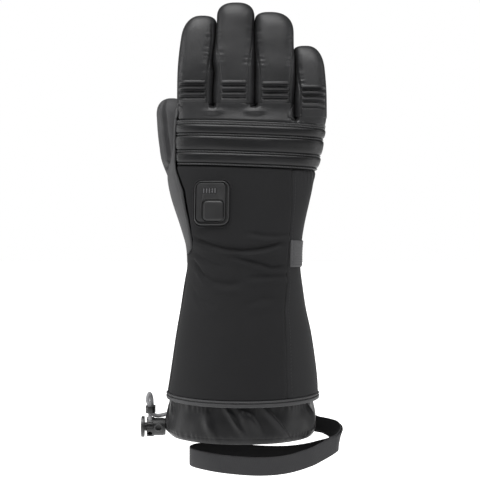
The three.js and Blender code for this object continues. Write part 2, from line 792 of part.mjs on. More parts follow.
function leashStrap() {
  const stations = leashStations();
  const curve = new THREE.CatmullRomCurve3(stations.map((station) => station.centre));
  const steps = strapStepsPerPlace * (stations.length - 1);
  const rings = [];
  for (let step = 0; step <= steps; step += 1) {
    const share = step / steps;
    const at = share * (stations.length - 1);
    const from = stations[Math.floor(at)];
    const to = stations[Math.min(Math.floor(at) + 1, stations.length - 1)];
    const along = curve.getTangent(share);
    const edge = from.up.clone().lerp(to.up, at - Math.floor(at));
    const up = edge.addScaledVector(along, -edge.dot(along)).normalize();
    const face = along.clone().cross(up).multiplyScalar(strapThickness / 2);
    const rim = up.multiplyScalar(strapWidth / 2);
    const corners = [[1, 1], [-1, 1], [-1, -1], [1, -1]];
    const centre = curve.getPoint(share);
    rings.push(corners.map(([a, b]) => centre.clone().addScaledVector(rim, a).addScaledVector(face, b)));
  }
  return solid(loft(rings));
}
addPiece('leash_strap', leashStrap(), webbing);

// The lock lies level against the skirt's corner at the thumb's side, its push disc to the left
const lockHeight = skirtTop - lockDown * skirtDrop;
const behindLock = skirtOuter.flat().filter(({ x, y, z }) => {
  return x < 0 && Math.abs(y) < neckDiameter && Math.abs(z - lockHeight) < neckDiameter;
});
const lockRight = Math.min(...behindLock.map(({ x }) => x)) - seamGap;
const neckLeft = lockRight - neckLength;
const barrelLeft = neckLeft - barrelLength;
const cordAcross = barrelLeft + barrelLength / 2;

function levelRound(radius, fromX, toX, height) {
  const length = toX - fromX;
  return solid(tube(radius, length).rotateZ(-Math.PI / 2).translate(fromX + length / 2, 0, height));
}

// The cord's way through the lock, from its upper front to its lower back
function cordHole(fromX, toX) {
  const radius = cordDiameter / 2 + cordClearance;
  const slant = Math.atan2(0.6, 0.8);
  const long = 3 * barrelDiameter;
  const ends = [fromX, toX].map((x) => {
    return solid(tube(radius, long).rotateX(Math.PI / 2 + slant).translate(x, 0, lockHeight));
  });
  if (fromX === toX) {
    return ends[0];
  }
  const middle = new THREE.BoxGeometry(toX - fromX, 2 * radius, long).rotateX(slant);
  return ends[0].add(ends[1]).add(solid(middle.translate((fromX + toX) / 2, 0, lockHeight)));
}

const boreRadius = stemDiameter / 2 + plungerClearance;
const stemEnd = barrelLeft + stemLength - plungerTravel - 0.3;
const boreEnd = stemEnd + plungerTravel + plungerClearance;

function lockBarrel() {
  const body = levelRound(barrelDiameter / 2, barrelLeft, neckLeft, lockHeight);
  const neck = levelRound(neckDiameter / 2, neckLeft - 1, lockRight, lockHeight);
  const bore = levelRound(boreRadius, barrelLeft - 1, boreEnd, lockHeight);
  return cutAway(body.add(neck), [bore, cordHole(cordAcross, cordAcross)]);
}

function lockPlunger() {
  const discRight = barrelLeft - plungerTravel - 0.3;
  const disc = levelRound(discDiameter / 2, discRight - discThickness, discRight, lockHeight);
  const stem = levelRound(stemDiameter / 2, discRight - 0.5, stemEnd, lockHeight);
  return disc.add(stem.subtract(cordHole(cordAcross - plungerTravel, cordAcross)));
}
addPiece('cord_lock_barrel', lockBarrel(), lockPlastic);
addPiece('cord_lock_plunger', lockPlunger(), lockPlastic);

// The cord's route from the skirt over the lock, up round its loop, down through the lock and back to the skirt.
// across: share of the way from the cord's hole to the lock's right end. Then Y, and the height over the lock.
const drawcordRoute = [
  [1.3, 1.4, 10.4],
  [0.89, 1.8, 9.2],
  [0.52, 2.2, 8.7],
  [0.23, 2.7, 9.4],
  [0.08, 3.0, 11.4],
  [0.09, 2.8, 16.0],
  [0.17, 2.4, 20.0],
  [0.14, 2.2, 24.0],
  [-0.08, 0.8, 26.6],
  [-0.32, -0.9, 25.4],
  [-0.35, -2.2, 21.8],
  [-0.11, -2.9, 18.8],
  [-0.02, -3.1, 15.0],
  [0.0, -3.5, 11.4],
  [0.0, -4.7, 7.2],
  [0.0, -2.4, 3.2],
  [0.0, 0.0, 0.0],
  [0.0, 2.4, -3.2],
  [0.05, 4.9, -6.0],
  [0.25, 7.8, -6.6],
  [0.58, 9.4, -4.8],
  [0.94, 9.6, -2.6],
  [1.3, 9.4, -0.4],
];

function drawcord() {
  const places = drawcordRoute.map(([across, y, over]) => {
    return new THREE.Vector3(mix(cordAcross, lockRight, across), y, lockHeight + over);
  });
  const curve = new THREE.CatmullRomCurve3(places);
  const section = new THREE.Shape();
  const corner = (side) => {
    const angle = (2 * Math.PI * side) / cordSides;
    return [(Math.cos(angle) * cordDiameter) / 2, (Math.sin(angle) * cordDiameter) / 2];
  };
  section.moveTo(...corner(0));
  for (let side = 1; side < cordSides; side += 1) {
    section.lineTo(...corner(side));
  }
  const cord = solid(new THREE.ExtrudeGeometry(section, { steps: cordSteps, extrudePath: curve, curveSegments: 1 }));
  return cord.subtract(solid(loft(skirtRings(-seamGap, seamGap))));
}
addPiece('drawcord', drawcord(), elasticCord);

// The sleeve holds the loop's two legs together just above the lock
const clipMiddle = new THREE.Vector3(cordAcross + 0.2, -0.4, lockHeight + 14.4);
const legsAcross = 1.8;
const legsApart = 6.2;
function clipOutline(wall, low, high) {
  const round = cordDiameter + 2 * cordClearance + 2 * wall;
  const width = round + legsAcross;
  const length = round + legsApart + 2 * cordClearance;
  const shape = roundedShape(width, length, width / 2 - 0.1, clipMiddle.x, clipMiddle.y);
  return solid(extruded(shape, high - low).translate(0, 0, low));
}

function cordClip() {
  const low = clipMiddle.z - clipHeight / 2;
  const high = clipMiddle.z + clipHeight / 2;
  return clipOutline(clipWall, low, high).subtract(clipOutline(0, low - 1, high + 1));
}
addPiece('cord_clip', cordClip(), lockPlastic);

export default glove;
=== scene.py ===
# A right-hand heated gauntlet glove, held upright with its fingers up.
# The makers below work in millimetres and turn them to metres as each mesh is made.
# +Z runs up the fingers, the back of the hand faces -Y and the thumb is at -X.
import json
import math

import bmesh
import bpy
import numpy as np
from mathutils import Matrix, Vector

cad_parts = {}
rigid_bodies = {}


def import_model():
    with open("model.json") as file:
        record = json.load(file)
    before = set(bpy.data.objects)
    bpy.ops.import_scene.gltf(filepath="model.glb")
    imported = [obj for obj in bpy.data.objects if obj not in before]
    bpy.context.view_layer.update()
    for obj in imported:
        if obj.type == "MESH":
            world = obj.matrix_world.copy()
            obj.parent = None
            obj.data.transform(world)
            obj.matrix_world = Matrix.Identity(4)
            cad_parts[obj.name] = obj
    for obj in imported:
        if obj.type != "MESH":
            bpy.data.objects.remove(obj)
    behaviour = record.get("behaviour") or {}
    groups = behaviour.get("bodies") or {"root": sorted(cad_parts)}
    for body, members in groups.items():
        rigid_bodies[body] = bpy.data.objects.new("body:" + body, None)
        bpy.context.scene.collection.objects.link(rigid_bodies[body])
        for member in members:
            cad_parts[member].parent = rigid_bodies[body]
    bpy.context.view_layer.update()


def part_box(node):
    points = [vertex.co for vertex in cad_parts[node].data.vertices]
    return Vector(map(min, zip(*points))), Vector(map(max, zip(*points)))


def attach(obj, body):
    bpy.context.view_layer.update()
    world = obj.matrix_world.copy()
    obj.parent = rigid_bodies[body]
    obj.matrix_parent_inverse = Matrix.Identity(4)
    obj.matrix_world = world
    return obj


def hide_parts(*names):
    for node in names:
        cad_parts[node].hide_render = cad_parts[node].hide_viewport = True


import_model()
MM = 0.001


# Camera, at the photograph's distance and a little above the wrist
PICTURE = 480
MM_PER_PIXEL = 0.82
CAMERA_PLACE = (-3.3, -950, 12.3)


def make_camera():
    camera = bpy.data.objects.new("camera", bpy.data.cameras.new("camera"))
    bpy.context.scene.collection.objects.link(camera)
    camera.location = [value * MM for value in CAMERA_PLACE]
    camera.rotation_euler = (math.radians(90), 0, 0)
    camera.data.sensor_width = 36
    camera.data.lens = 36 * -CAMERA_PLACE[1] / (PICTURE * MM_PER_PIXEL)
    camera.data.clip_start = 0.01
    bpy.context.scene.camera = camera


make_camera()


# X and Z of a pixel of the photograph, for a place that lies y behind the middle of the glove
def at_pixel(across, down, y=0.0):
    scale = MM_PER_PIXEL * (y - CAMERA_PLACE[1]) / -CAMERA_PLACE[1]
    return CAMERA_PLACE[0] + (across - PICTURE / 2) * scale, CAMERA_PLACE[2] + (PICTURE / 2 - down) * scale


# Materials
def linear(colour):
    parts = [int(colour[at : at + 2], 16) / 255 for at in (1, 3, 5)]
    return [c / 12.92 if c <= 0.04045 else ((c + 0.055) / 1.055) ** 2.4 for c in parts] + [1.0]


def node(material, kind, settings=None, links=None):
    made = material.node_tree.nodes.new(kind)
    for name, value in (settings or {}).items():
        if name in made.inputs:
            made.inputs[name].default_value = value
        else:
            setattr(made, name, value)
    for name, source in (links or {}).items():
        material.node_tree.links.new(source, made.inputs[name])
    return made


def finish(name, colour, settings):
    material = bpy.data.materials.new(name)
    material.use_nodes = True
    shader = material.node_tree.nodes["Principled BSDF"]
    shader.inputs["Base Color"].default_value = linear(colour)
    for socket, value in settings.items():
        shader.inputs[socket].default_value = value
    return material, shader


def rough_between(material, shader, share, low, high):
    spread = node(material, "ShaderNodeMapRange", {"To Min": low, "To Max": high}, {"Value": share})
    material.node_tree.links.new(spread.outputs[0], shader.inputs["Roughness"])


def bumped(material, shader, height, distance, strength=1.0, under=None):
    links = {"Height": height}
    if under is not None:
        links["Normal"] = under
    bump = node(material, "ShaderNodeBump", {"Distance": distance * MM, "Strength": strength}, links)
    material.node_tree.links.new(bump.outputs[0], shader.inputs["Normal"])
    return bump.outputs[0]


# How often a pattern of this size in mm repeats in a metre
def per_metre(size_mm):
    return 1000.0 / size_mm


# A wave texture of scale 1 repeats after this much of its coordinate
WAVE_REPEAT = 0.314


# A Mix node's two colours are its inputs 6 and 7, and the mixed colour its output 2
def two_tones(material, shader, share, dark, light):
    tones = node(material, "ShaderNodeMix", {"data_type": "RGBA"})
    tones.inputs[6].default_value = linear(dark)
    tones.inputs[7].default_value = linear(light)
    material.node_tree.links.new(share, tones.inputs[0])
    material.node_tree.links.new(tones.outputs[2], shader.inputs["Base Color"])


# Leather: rounded grains between fine creases, with paler rubbed patches and an uneven gloss
def leather(name, dark, light, gloss, grain_mm, shine):
    material, shader = finish(name, dark, {"Specular IOR Level": shine, "IOR": 1.5})
    place = node(material, "ShaderNodeTexCoord").outputs["Object"]
    sway = node(material, "ShaderNodeTexNoise", {"Scale": 120.0, "Detail": 2.0}, {"Vector": place})
    grains = {"Scale": per_metre(grain_mm)}
    cells = node(material, "ShaderNodeTexVoronoi", grains, {"Vector": place})
    to_edge = {"feature": "DISTANCE_TO_EDGE"} | grains
    edges = node(material, "ShaderNodeTexVoronoi", to_edge, {"Vector": place})
    crease = node(material, "ShaderNodeMapRange", {"From Max": 0.18}, {"Value": edges.outputs["Distance"]})
    patches = node(material, "ShaderNodeTexNoise", {"Scale": 35.0, "Detail": 4.0}, {"Vector": place})
    middle = {"From Min": 0.35, "From Max": 0.7}
    wear = node(material, "ShaderNodeMapRange", middle, {"Value": patches.outputs["Fac"]})
    two_tones(material, shader, wear.outputs[0], dark, light)
    rough_between(material, shader, sway.outputs["Fac"], gloss - 0.07, gloss + 0.1)
    low = bumped(material, shader, cells.outputs["Distance"], 0.05, 0.35)
    bumped(material, shader, crease.outputs[0], 0.07, 0.5, low)
    return material


# Woven or knitted cloth on the piece's own UV map, in millimetres, so that its threads follow the piece
def cloth(name, dark, light, roughness, thread_mm, depth_mm, sheen, twill=0.0):
    surface = {"Sheen Weight": sheen, "Sheen Roughness": 0.5, "Specular IOR Level": 0.15}
    material, shader = finish(name, dark, surface)
    uv = node(material, "ShaderNodeTexCoord").outputs["UV"]
    turned = node(material, "ShaderNodeMapping", {"Rotation": (0, 0, twill)}, {"Vector": uv})
    threads = {"Scale": WAVE_REPEAT / thread_mm, "Distortion": 0.6, "Detail": 1.0}
    on_cloth = {"Vector": turned.outputs[0]}
    warp = node(material, "ShaderNodeTexWave", {"bands_direction": "X"} | threads, on_cloth)
    weft = node(material, "ShaderNodeTexWave", {"bands_direction": "Y"} | threads, on_cloth)
    woven = node(material, "ShaderNodeMath", {"operation": "MULTIPLY"})
    material.node_tree.links.new(warp.outputs["Fac"], woven.inputs[0])
    material.node_tree.links.new(weft.outputs["Fac"], woven.inputs[1])
    place = node(material, "ShaderNodeTexCoord").outputs["Object"]
    patches = node(material, "ShaderNodeTexNoise", {"Scale": 28.0, "Detail": 5.0}, {"Vector": place})
    mixed = node(material, "ShaderNodeMath", {"operation": "MULTIPLY_ADD"})
    material.node_tree.links.new(woven.outputs[0], mixed.inputs[0])
    mixed.inputs[1].default_value = 0.45
    material.node_tree.links.new(patches.outputs["Fac"], mixed.inputs[2])
    two_tones(material, shader, mixed.outputs[0], dark, light)
    rough_between(material, shader, patches.outputs["Fac"], roughness - 0.06, roughness + 0.06)
    bumped(material, shader, woven.outputs[0], depth_mm, 0.7)
    return material


# Injection-moulded plastic or rubber: a fine spark-eroded grain, a little glossier where hands rub it
def moulded(name, colour, light, roughness, grain_mm):
    material, shader = finish(name, colour, {"IOR": 1.49, "Specular IOR Level": 0.5})
    place = node(material, "ShaderNodeTexCoord").outputs["Object"]
    fine = {"Scale": per_metre(grain_mm), "Detail": 2.0}
    grain = node(material, "ShaderNodeTexNoise", fine, {"Vector": place})
    rubbed = node(material, "ShaderNodeTexNoise", {"Scale": 150.0, "Detail": 3.0}, {"Vector": place})
    two_tones(material, shader, rubbed.outputs["Fac"], colour, light)
    rough_between(material, shader, rubbed.outputs["Fac"], roughness - 0.08, roughness + 0.08)
    bumped(material, shader, grain.outputs["Fac"], 0.03, 0.4)
    return material


# Goat leather on the backs of the fingers: fine grain, satin, the lighter parts are stretched grain
goat_leather = leather("goat_leather_satin", "#1a1a1b", "#252526", 0.42, 0.9, 0.28)
# Smooth padded leather over foam: tighter grain and more gloss, so its channels catch the light
channel_leather = leather("padded_leather_semi_gloss", "#0e0e0f", "#151516", 0.32, 0.7, 0.28)
# Palm leather: coarser grain, matt and greyer
palm_leather = leather("palm_leather_matt", "#333334", "#404041", 0.6, 1.1, 0.25)
# Stretch softshell: a fine matt knit face, drawn at 0.6 mm a stitch so that it shows
softshell = cloth("softshell_knit_matt", "#151516", "#1c1c1d", 0.85, 0.6, 0.06, 0.03)
# The same knit for the side panel, painted lighter: a painted highlight for the side that faces the
# right-hand light
gusset_shell = cloth("softshell_knit_side_painted_light", "#1a1a1b", "#222223", 0.82, 0.6, 0.06, 0.04)
# Ribbed elastic at the wrist: mid-grey cords 1 mm apart
elastic_band = cloth("ribbed_elastic", "#39393a", "#474748", 0.75, 1.0, 0.12, 0.05)
# Piping and binding: satin woven tape over a cord, the brightest cloth on the glove
binding = cloth("satin_binding_tape", "#2e2e2f", "#3c3c3d", 0.5, 0.5, 0.04, 0.08)
# Thin coated nylon: plain weave with a faint sheen on its folds
nylon = cloth("coated_nylon", "#111112", "#1a1a1b", 0.38, 0.5, 0.03, 0.04)
# Webbing: a twill of coarse polyester threads, 0.9 mm apart
webbing = cloth("polyester_webbing", "#28282a", "#343435", 0.7, 0.9, 0.12, 0.05, 0.7)
# The leash's faces that turn towards the glove: the same polyester, darker, as painted shade
webbing_painted_shade = cloth("webbing_painted_inner_shade", "#0a0a0b", "#0f0f10", 0.9, 0.9, 0.08, 0.0)
# Braided elastic cord: plaited pale grey yarns round a rubber core
cord_braid = cloth("braided_elastic_cord", "#68686a", "#8c8c8e", 0.7, 0.8, 0.15, 0.2, 0.785)
# Soft-touch rubber of the control: matt with a faint grain
soft_rubber = moulded("soft_touch_rubber", "#0f0f10", "#151516", 0.5, 0.5)
button_rubber = moulded("soft_touch_rubber_button", "#0e0e0f", "#131314", 0.48, 0.5)
# Light windows: smoke-grey plastic, flush with the rubber
light_window = moulded("grey_light_window", "#444446", "#4e4e50", 0.4, 0.6)
# Nylon 6 of the cord lock: black and slightly glossy, and a paler shade for its disc and eyelet
lock_nylon = moulded("nylon_6_moulded", "#0c0c0d", "#141415", 0.42, 0.6)
disc_nylon = moulded("nylon_6_paler", "#1c1c1d", "#303031", 0.42, 0.6)
# Sewing thread: twisted polyester, a little paler than the leather
thread = moulded("polyester_thread", "#3c3c3d", "#4c4c4d", 0.6, 0.3)
dark_thread = moulded("polyester_thread_dark", "#1c1c1d", "#262627", 0.65, 0.3)


# Meshes
def add_object(name, mesh, material):
    piece = bpy.data.objects.new(name, mesh)
    bpy.context.scene.collection.objects.link(piece)
    mesh.materials.append(material)
    return piece


def pick_none():
    for other in bpy.context.view_layer.objects:
        other.select_set(False)


def pick_only(piece):
    pick_none()
    piece.select_set(True)
    bpy.context.view_layer.objects.active = piece


def apply_modifier(piece, kind, settings):
    pick_only(piece)
    modifier = piece.modifiers.new(kind.lower(), kind)
    for name, value in settings.items():
        setattr(modifier, name, value)
    bpy.ops.object.modifier_apply(modifier=modifier.name)


# Where each point of a grid lies on its cloth, in mm along its rows and columns
def cloth_map(points):
    rows, columns, _ = points.shape
    steps_u = np.linalg.norm(np.diff(points, axis=1), axis=2)
    steps_v = np.linalg.norm(np.diff(points, axis=0), axis=2)
    u = np.concatenate([np.zeros((rows, 1)), np.cumsum(steps_u, axis=1)], axis=1)
    v = np.concatenate([np.zeros((1, columns)), np.cumsum(steps_v, axis=0)], axis=0)
    u -= u.mean(axis=1, keepdims=True)
    return np.stack([u, v], axis=2).reshape(-1, 2)


# A skin through a grid of points in mm, rows by columns. closed joins the last column to the first,
# caps closes both ends as well, and thickness gives it a wall on its inner side.
def grid_piece(name, points, material, closed=False, thickness=0.0, caps=False):
    points = np.asarray(points, float)
    rows, columns, _ = points.shape
    uv = cloth_map(points)
    first = (np.arange(rows - 1)[:, None] * columns + np.arange(columns - 1)).ravel()
    faces = np.stack([first, first + 1, first + columns + 1, first + columns], axis=1)
    flat = points.reshape(-1, 3) * MM
    mesh = bpy.data.meshes.new(name)
    face_list = faces.tolist()
    if caps:
        flat = np.concatenate([flat, points[0].mean(axis=0)[None] * MM, points[-1].mean(axis=0)[None] * MM])
        uv = np.concatenate([uv, [[0, 0]], [[0, 0]]])
        bottom = len(flat) - 2
        top = len(flat) - 1
        last = (rows - 1) * columns
        face_list += [[bottom, at + 1, at] for at in range(columns - 1)]
        face_list += [[top, last + at, last + at + 1] for at in range(columns - 1)]
    mesh.from_pydata(flat.tolist(), [], face_list)
    layer = mesh.uv_layers.new(name="cloth")
    corner = np.empty(len(mesh.loops), int)
    mesh.loops.foreach_get("vertex_index", corner)
    layer.data.foreach_set("uv", uv[corner].ravel())
    piece = add_object(name, mesh, material)
    if closed or caps:
        work = bmesh.new()
        work.from_mesh(mesh)
        bmesh.ops.remove_doubles(work, verts=work.verts, dist=1e-6)
        work.to_mesh(mesh)
        work.free()
    mesh.shade_smooth()
    if thickness:
        apply_modifier(piece, "SOLIDIFY", {"thickness": thickness * MM, "offset": -1, "use_rim": True})
    return piece


# The glove's body, by the same sizes and tables as its solids
HAND_LENGTH = 122.7
GAUNTLET_LENGTH = 111
KNUCKLE_DEPTH = 44
WRIST_WIDTH = 93.5
WRIST_DEPTH = 62
CUFF_WIDTH = 123.3
CUFF_DEPTH = 90
FINGER_GAP = 0.5
FINGER_DEPTH = 27
FINGER_CURL = 8
FINGER_SET_BACK = 2.2
WALL = 3
SEAM = 0.3
FINGERS = [
    {"name": "index", "width": 29, "length": 74.4, "lean": 5.7, "taper": 0.05, "tucks": 7.3, "drop": 0},
    {"name": "middle", "width": 33.7, "length": 85.2, "lean": 2.4, "taper": 0.075, "tucks": 7.3, "drop": 0},
    {"name": "ring", "width": 31.7, "length": 77.4, "lean": -2.2, "taper": 0.045, "tucks": 6.3, "drop": 0},
    {"name": "little", "width": 26.3, "length": 60.6, "lean": -3, "taper": 0.05, "tucks": 14.6, "drop": 11},
]
HALF_KNUCKLES = (sum(finger["width"] for finger in FINGERS) + 3 * FINGER_GAP) / 2
KNUCKLE_SHIFT = HALF_KNUCKLES * 0.105

# Each row is a height as a share of HAND_LENGTH, a spread from the wrist's size (0) to the knuckles' (1),
# the reach to the thumb's side, the little finger's side, the back and the palm, as shares of the half size
# there, and the power of its rounded square.
HAND_ROWS = [
    (1.0, 1.0, 0.905, 1.095, 0.77, 0.6, 3.4),
    (0.95, 1.0, 0.91, 1.1, 0.86, 0.72, 3.1),
    (0.86, 1.0, 0.93, 1.08, 0.94, 0.88, 2.8),
    (0.76, 0.95, 0.955, 1.06, 0.98, 0.96, 2.6),
    (0.634, 0.85, 1.022, 1.04, 0.97, 1.07, 2.5),
    (0.54, 0.72, 1.1, 1.02, 0.95, 1.13, 2.5),
    (0.44, 0.6, 1.107, 1.01, 0.97, 1.15, 2.5),
    (0.16, 0.17, 1.038, 0.985, 1.0, 1.04, 2.4),
    (0.06, 0.05, 1.007, 0.988, 1.01, 1.01, 2.4),
]
# Each row is a depth as a share of GAUNTLET_LENGTH, a spread from the wrist's size (0) to the cuff's (1),
# the reach to the thumb's side and the power.
GAUNTLET_ROWS = [
    (0.067, 0.0, 1.005, 2.35),
    (0.185, 0.084, 1.012, 2.3),
    (0.39, 0.31, 1.013, 2.25),
    (0.59, 0.594, 1.004, 2.2),
    (0.91, 0.93, 1.008, 2.1),
    (1.0, 1.0, 1.017, 2.1),
]


def mix(a, b, share):
    return a + (b - a) * share


# Each row of the body as height, left, right, back and palm reach, and power, from the cuff up
def body_rows():
    rows = []
    for up, spread, thumb_side, little_side, back, palm, power in HAND_ROWS:
        half = mix(WRIST_WIDTH / 2, HALF_KNUCKLES, spread)
        deep = mix(WRIST_DEPTH, KNUCKLE_DEPTH, spread) / 2
        reach = (half * thumb_side, half * little_side, deep * back, deep * palm)
        rows.append((up * HAND_LENGTH, *reach, power))
    for down, spread, thumb_side, power in GAUNTLET_ROWS:
        half = mix(WRIST_WIDTH, CUFF_WIDTH, spread) / 2
        deep = mix(WRIST_DEPTH, CUFF_DEPTH, spread) / 2
        reach = (half * thumb_side, half * (2 - thumb_side), deep, deep)
        rows.append((-down * GAUNTLET_LENGTH, *reach, power))
    return np.array(rows[::-1])


BODY = body_rows()
CUFF = BODY[0]


# The cubic curve that takes these values and slopes at these places
def curve_through(places, values, slopes, where):
    row = np.clip(np.searchsorted(places, where) - 1, 0, len(places) - 2)
    step = places[row + 1] - places[row]
    t = (where - places[row]) / step
    start = values[row] * (2 * t**3 - 3 * t**2 + 1) + values[row + 1] * (3 * t**2 - 2 * t**3)
    return start + step * (slopes[row] * (t**3 - 2 * t**2 + t) + slopes[row + 1] * (t**3 - t**2))


# A smooth curve through the rows of a table, which doesn't overshoot them
def smooth_between(heights, values, at):
    slopes = np.diff(values) / np.diff(heights)
    tangents = np.concatenate([slopes[:1], (slopes[:-1] + slopes[1:]) / 2, slopes[-1:]])
    tangents[1:-1][slopes[:-1] * slopes[1:] < 0] = 0
    return curve_through(heights, values, tangents, np.clip(at, heights[0], heights[-1]))


# Each column of a table, after the first, at the places that the first column measures
def columns_at(table, at):
    return [smooth_between(table[:, 0], column, at) for column in table.T[1:]]


def body_at(z):
    return columns_at(BODY, z)


def rounded_square(angle, left, right, back, palm, power):
    cosine = np.sign(np.cos(angle)) * np.abs(np.cos(angle)) ** (2 / power)
    sine = np.sign(np.sin(angle)) * np.abs(np.sin(angle)) ** (2 / power)
    return mix(-left, right, (1 + cosine) / 2), np.where(sine > 0, sine * palm, sine * back)


# X and Y of the body's skin at an angle and height, standing out by a distance
def skin(angle, z, out=0.0):
    left, right, back, palm, power = body_at(z)
    return rounded_square(angle, left + out, right + out, back + out, palm + out, power)


# The angle on the back of the body where its skin has this X
def angle_on_back(x, z):
    left, right, _, _, power = body_at(z)
    share = np.clip((x - (right - left) / 2) / ((right + left) / 2), -1, 1)
    return -np.arccos(np.sign(share) * np.abs(share) ** (power / 2))


def bell(distance, width):
    return np.exp(-((distance / width) ** 2))


def ramp(value, start, end):
    share = np.clip((value - start) / (end - start), 0, 1)
    return share * share * (3 - 2 * share)


# Seams on the back: a height as a share of HAND_LENGTH, or of GAUNTLET_LENGTH below the wrist, then the place
# across as a share of the body's reach on that side
THUMB_SEAM = np.array(
    [(0.01, 0.88), (0.14, 0.855), (0.28, 0.83), (0.42, 0.81)]
    + [(0.5, 0.845), (0.62, 0.925), (0.75, 0.975), (1.1, 0.985)]
)
SIDE_SEAM = np.array(
    [(0.8, 0.571), (0.3, 0.735), (0.1, 0.78), (-0.2, 0.735), (-0.4, 0.64), (-0.8, 0.565), (-1.3, 0.55)]
)
# The back meets the palm where the body's skin crosses a plane that tilts by this much across it
WRAP_TILT = 0.164


def wrap_angle(z, near):
    angles = near + np.linspace(-1.2, 1.2, 241)
    flat_z = np.atleast_1d(z).ravel()
    x, y = skin(angles[None, :], flat_z[:, None])
    over = y - WRAP_TILT * x
    best = np.argmin(np.abs(over), axis=1)
    return angles[best].reshape(np.shape(z))


def thumb_seam_angle(z):
    across = np.interp(z / HAND_LENGTH, THUMB_SEAM[:, 0], THUMB_SEAM[:, 1])
    on_seam = angle_on_back(-body_at(z)[0] * across, z)
    return mix(wrap_left(z), on_seam, ramp(z, -4, 7))


def side_seam_angle(z):
    height = np.where(z > 0, z / HAND_LENGTH, z / GAUNTLET_LENGTH)
    across = np.interp(height, SIDE_SEAM[::-1, 0], SIDE_SEAM[::-1, 1])
    return angle_on_back(body_at(z)[1] * across, z)


# The two angles where the back meets the palm, read from a fine table of heights
WRAP_HEIGHTS = np.linspace(-GAUNTLET_LENGTH, HAND_LENGTH, 118)
WRAP_LEFT_TABLE = wrap_angle(WRAP_HEIGHTS, -math.pi)
WRAP_RIGHT_TABLE = wrap_angle(WRAP_HEIGHTS, 0.0)


def wrap_left(z):
    return np.interp(z, WRAP_HEIGHTS, WRAP_LEFT_TABLE)


def wrap_right(z):
    return np.interp(z, WRAP_HEIGHTS, WRAP_RIGHT_TABLE)


PANEL_SLOPE = 0.035
KNUCKLE_TOP = HAND_LENGTH - 14.7
CHANNELS = [9.2, 13.7, 10.3]
STRIP = 3.8
KNUCKLE_BOTTOM = KNUCKLE_TOP - STRIP - sum(CHANNELS)


# The cuff hangs a little lower in the middle of the back
CUFF_SAG = 2.6
SAG_START = 60


def cuff_sag(angle):
    return CUFF_SAG * np.maximum(-np.sin(angle), 0) ** 1.5


# Points of a panel of the body between two seams. slopes tip its low and high ends across the glove.
# The relief stands out in millimetres, and gets X, Z, the level before the slope, and both shares.
def panel_points(level, share, up, seams, relief, slopes):
    slope = mix(slopes[0], slopes[1], up)
    z = level.copy()
    for _ in range(3):
        angle = mix(seams[0](z), seams[1](z), share)
        x, y = skin(angle, z)
        z = level - slope * x
    angle = mix(seams[0](z), seams[1](z), share)
    x, y = skin(angle, z)
    x, y = skin(angle, z, relief(x, z, level, share, up))
    return np.stack([x, y, z - cuff_sag(angle) * ramp(-z, SAG_START, GAUNTLET_LENGTH)], axis=-1)


# grid is how many rows and columns of points the panel has
def body_panel(name, material, heights, seams, grid, relief, slopes=(0, 0), thickness=WALL):
    up, share = np.meshgrid(np.linspace(0, 1, grid[0]), np.linspace(0, 1, grid[1]), indexing="ij")
    level = mix(heights[0], heights[1], up)
    points = panel_points(level, share, up, seams, relief, slopes)
    return grid_piece(name, points, material, thickness=thickness)


# Rolls a panel's edges in towards their seams, over the last few millimetres
def rolled(share, width, depth=0.7, reach=1.4):
    edge = np.minimum(share, 1 - share) * width
    return -depth * bell(edge, reach)


def ride(piece, *nodes, body="root", slot=None):
    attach(piece, body)
    if nodes:
        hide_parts(*nodes)
    return piece


# Creases of the softshell at the wrist: pixels of the photograph along each, then its depth and half width
# in mm. All are made deeper by one factor, and lie on the back at one distance from the middle.
CREASE_STRENGTH = 1.5
CREASE_PLACE_Y = -28
CREASES = [
    ([(196, 239), (212, 245), (228, 248.6), (243, 249.7), (257, 248.6), (270, 246), (280, 243)], 1.9, 3.0),
    ([(232, 256), (245, 258.8), (258, 262.4), (270, 267), (284, 266)], 1.3, 2.6),
    ([(194, 262), (203, 275), (213, 281.5), (226, 284), (238, 283.5)], 1.1, 3.4),
    ([(252, 277), (262, 276), (274, 275), (286, 274.5)], 1.0, 3.0),
    ([(250, 233), (262, 235), (276, 235.4), (289, 234)], 0.8, 2.4),
    ([(193, 252), (203, 259), (214, 264), (222, 266)], 0.7, 2.6),
    ([(250, 303), (262, 298.6), (276, 299.5)], 0.6, 3.6),
    ([(192, 290), (200, 300), (212, 306)], 0.5, 4.0),
]


def creased(x, z):
    out = np.zeros_like(x)
    for places, depth, width in CREASES:
        line = np.array([at_pixel(across, down, CREASE_PLACE_Y) for across, down in places])
        along = np.interp(x, line[:, 0], line[:, 1])
        first, last = line[0, 0], line[-1, 0]
        fade = ramp(x, first - 7, first + 5) * (1 - ramp(x, last - 5, last + 7))
        above = z - along
        puff = 0.55 * bell(above + 1.5 * width, width)
        groove = bell(above, width * np.where(above > 0, 0.7, 1.2))
        out += CREASE_STRENGTH * fade * depth * (puff - groove)
    return out


# Shallow waves that lie mostly across the glove. scale is about a sixth of a wave's length, both in mm.
def soft_waves(x, z, seed, scale, height):
    random = np.random.default_rng(seed)
    out = np.zeros_like(x)
    for _ in range(7):
        angle = random.uniform(-0.9, 0.9)
        size = scale * random.uniform(0.7, 1.6)
        phase = random.uniform(0, 6.3)
        out += np.sin((z * math.cos(angle) + x * math.sin(angle)) / size + phase)
    return out * height / 7


# About how far each panel reaches round the glove, and the back panel up it
BACK_REACH = 95.0
GUSSET_REACH = 30.0
KNUCKLE_REACH = 125.0
PALM_REACH = 150.0
BAND_REACH = 130
BACK_RUN = 180


# The back panel's top is drawn in under the knuckle panel
def tucked_top(up):
    return 0.8 * bell((1 - up) * BACK_RUN, 1.3)


